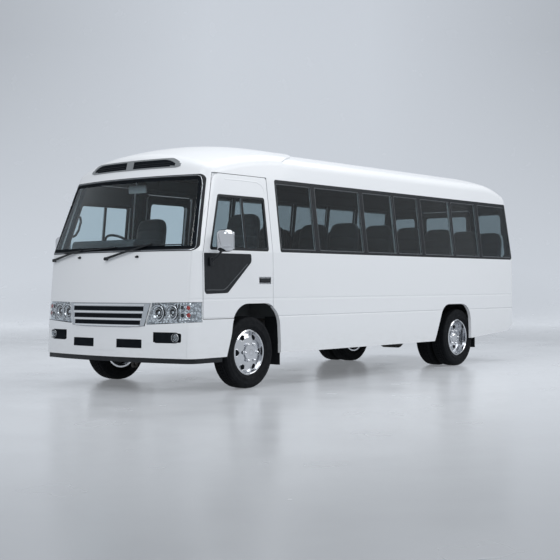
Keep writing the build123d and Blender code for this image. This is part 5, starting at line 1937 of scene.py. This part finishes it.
def studio_world():
    """Soft light from all round, and a plain grey where the eye, a mirror or a pane looks past the stage."""
    world = bpy.data.worlds.new("studio")
    world.use_nodes = True
    tree = world.node_tree
    sky = tree.nodes["Background"]
    seen = tree.nodes.new("ShaderNodeBackground")
    for node, colour, strength in ((sky, SKY, SKY_STRENGTH), (seen, SEEN, SEEN_STRENGTH)):
        node.inputs["Color"].default_value = colour
        node.inputs["Strength"].default_value = strength
    ray = tree.nodes.new("ShaderNodeLightPath").outputs
    either = maths_node(tree, "MAXIMUM", ray["Is Camera Ray"], ray["Is Glossy Ray"])
    mix = tree.nodes.new("ShaderNodeMixShader")
    tree.links.new(maths_node(tree, "MAXIMUM", either, ray["Is Transmission Ray"]), mix.inputs[0])
    tree.links.new(sky.outputs[0], mix.inputs[1])
    tree.links.new(seen.outputs[0], mix.inputs[2])
    tree.links.new(mix.outputs[0], tree.nodes["World Output"].inputs["Surface"])
    return world


def studio_camera():
    """Long lens at bumper height, ahead of the bus and to its left."""
    data = bpy.data.cameras.new("camera")
    data.lens, data.sensor_width = LENS, SENSOR
    camera = bpy.data.objects.new("camera", data)
    bpy.context.scene.collection.objects.link(camera)
    camera.location = CAMERA_AT
    look = Euler((math.radians(90 + CAMERA_PITCH), 0, math.radians(CAMERA_YAW - 90)), "XYZ").to_matrix()
    camera.rotation_euler = (look @ Matrix.Rotation(math.radians(CAMERA_ROLL), 3, "Z")).to_euler()
    return camera


# place, aim, size, and the share of which light's power
LAMPS = {"top": ((-0.6, 1.2, 7.6), (-0.4, 0, 0.8), (11, 6), "key", 1.0),
         "side": ((-1.5, 7.5, 6.2), (-1.0, 0, 1.3), (12, 3), "side", 1.0),
         "front_fill": ((8.6, 1.8, 5.6), (2.4, 0, 1.5), (4, 3), "key", 0.48),
         "backdrop": ((4.5, -6.5, 6.5), (-1.0, -13.0, 2.5), (8, 3), "side", 1.1)}


class MINIBUS_OT_stage(bpy.types.Operator):
    """Set the floor, backdrop, light and camera"""
    bl_idname = "minibus.stage"
    bl_label = "Stage"

    def execute(self, context):
        setting = context.scene.minibus_stage
        ground = piece("floor", sweep(), None, body=None, smooth=60)
        ground.data.materials.append(pale_floor())
        context.scene.world = studio_world()
        for name, (place, target, size, source, share) in LAMPS.items():
            area_lamp(name, place, target, size, getattr(setting, source) * share)
        context.scene.camera = studio_camera()
        context.scene.view_settings.view_transform = "Standard"
        return {"FINISHED"}


# ---------------------------------------------------------------- add-on
OPERATORS = (MINIBUS_OT_finishes, MINIBUS_OT_linings, MINIBUS_OT_tyres, MINIBUS_OT_wheels,
             MINIBUS_OT_headlamps, MINIBUS_OT_fog_lamps, MINIBUS_OT_tail_lamps, MINIBUS_OT_mirrors,
             MINIBUS_OT_glazing, MINIBUS_OT_grille, MINIBUS_OT_fittings, MINIBUS_OT_cabin,
             MINIBUS_OT_underbody, MINIBUS_OT_seats, MINIBUS_OT_stage)
SETTINGS = {"minibus_paint": MinibusPaint, "minibus_tyres": MinibusTyres, "minibus_wheels": MinibusWheels,
            "minibus_seats": MinibusSeats, "minibus_stage": MinibusStage}


class MINIBUS_PT_panel(bpy.types.Panel):
    """Lists the settings and the buttons of the operators that build the pieces"""
    bl_label = "Minibus"
    bl_idname = "MINIBUS_PT_panel"
    bl_space_type = "VIEW_3D"
    bl_region_type = "UI"
    bl_category = "Minibus"

    def draw(self, context):
        for name, group in SETTINGS.items():
            box = self.layout.box()
            for key in group.__annotations__:
                box.prop(getattr(context.scene, name), key)
        for operator in OPERATORS:
            self.layout.operator(operator.bl_idname)


def register():
    for group in SETTINGS.values():
        bpy.utils.register_class(group)
    for name, group in SETTINGS.items():
        setattr(bpy.types.Scene, name, PointerProperty(type=group))
    for operator in OPERATORS:
        bpy.utils.register_class(operator)
    bpy.utils.register_class(MINIBUS_PT_panel)


def unregister():
    bpy.utils.unregister_class(MINIBUS_PT_panel)
    for operator in reversed(OPERATORS):
        bpy.utils.unregister_class(operator)
    for name in SETTINGS:
        delattr(bpy.types.Scene, name)
    for group in SETTINGS.values():
        bpy.utils.unregister_class(group)


def main():
    register()
    for operator in OPERATORS:
        group, action = operator.bl_idname.split(".")
        getattr(getattr(bpy.ops, group), action)()


if __name__ == "__main__":
    main()
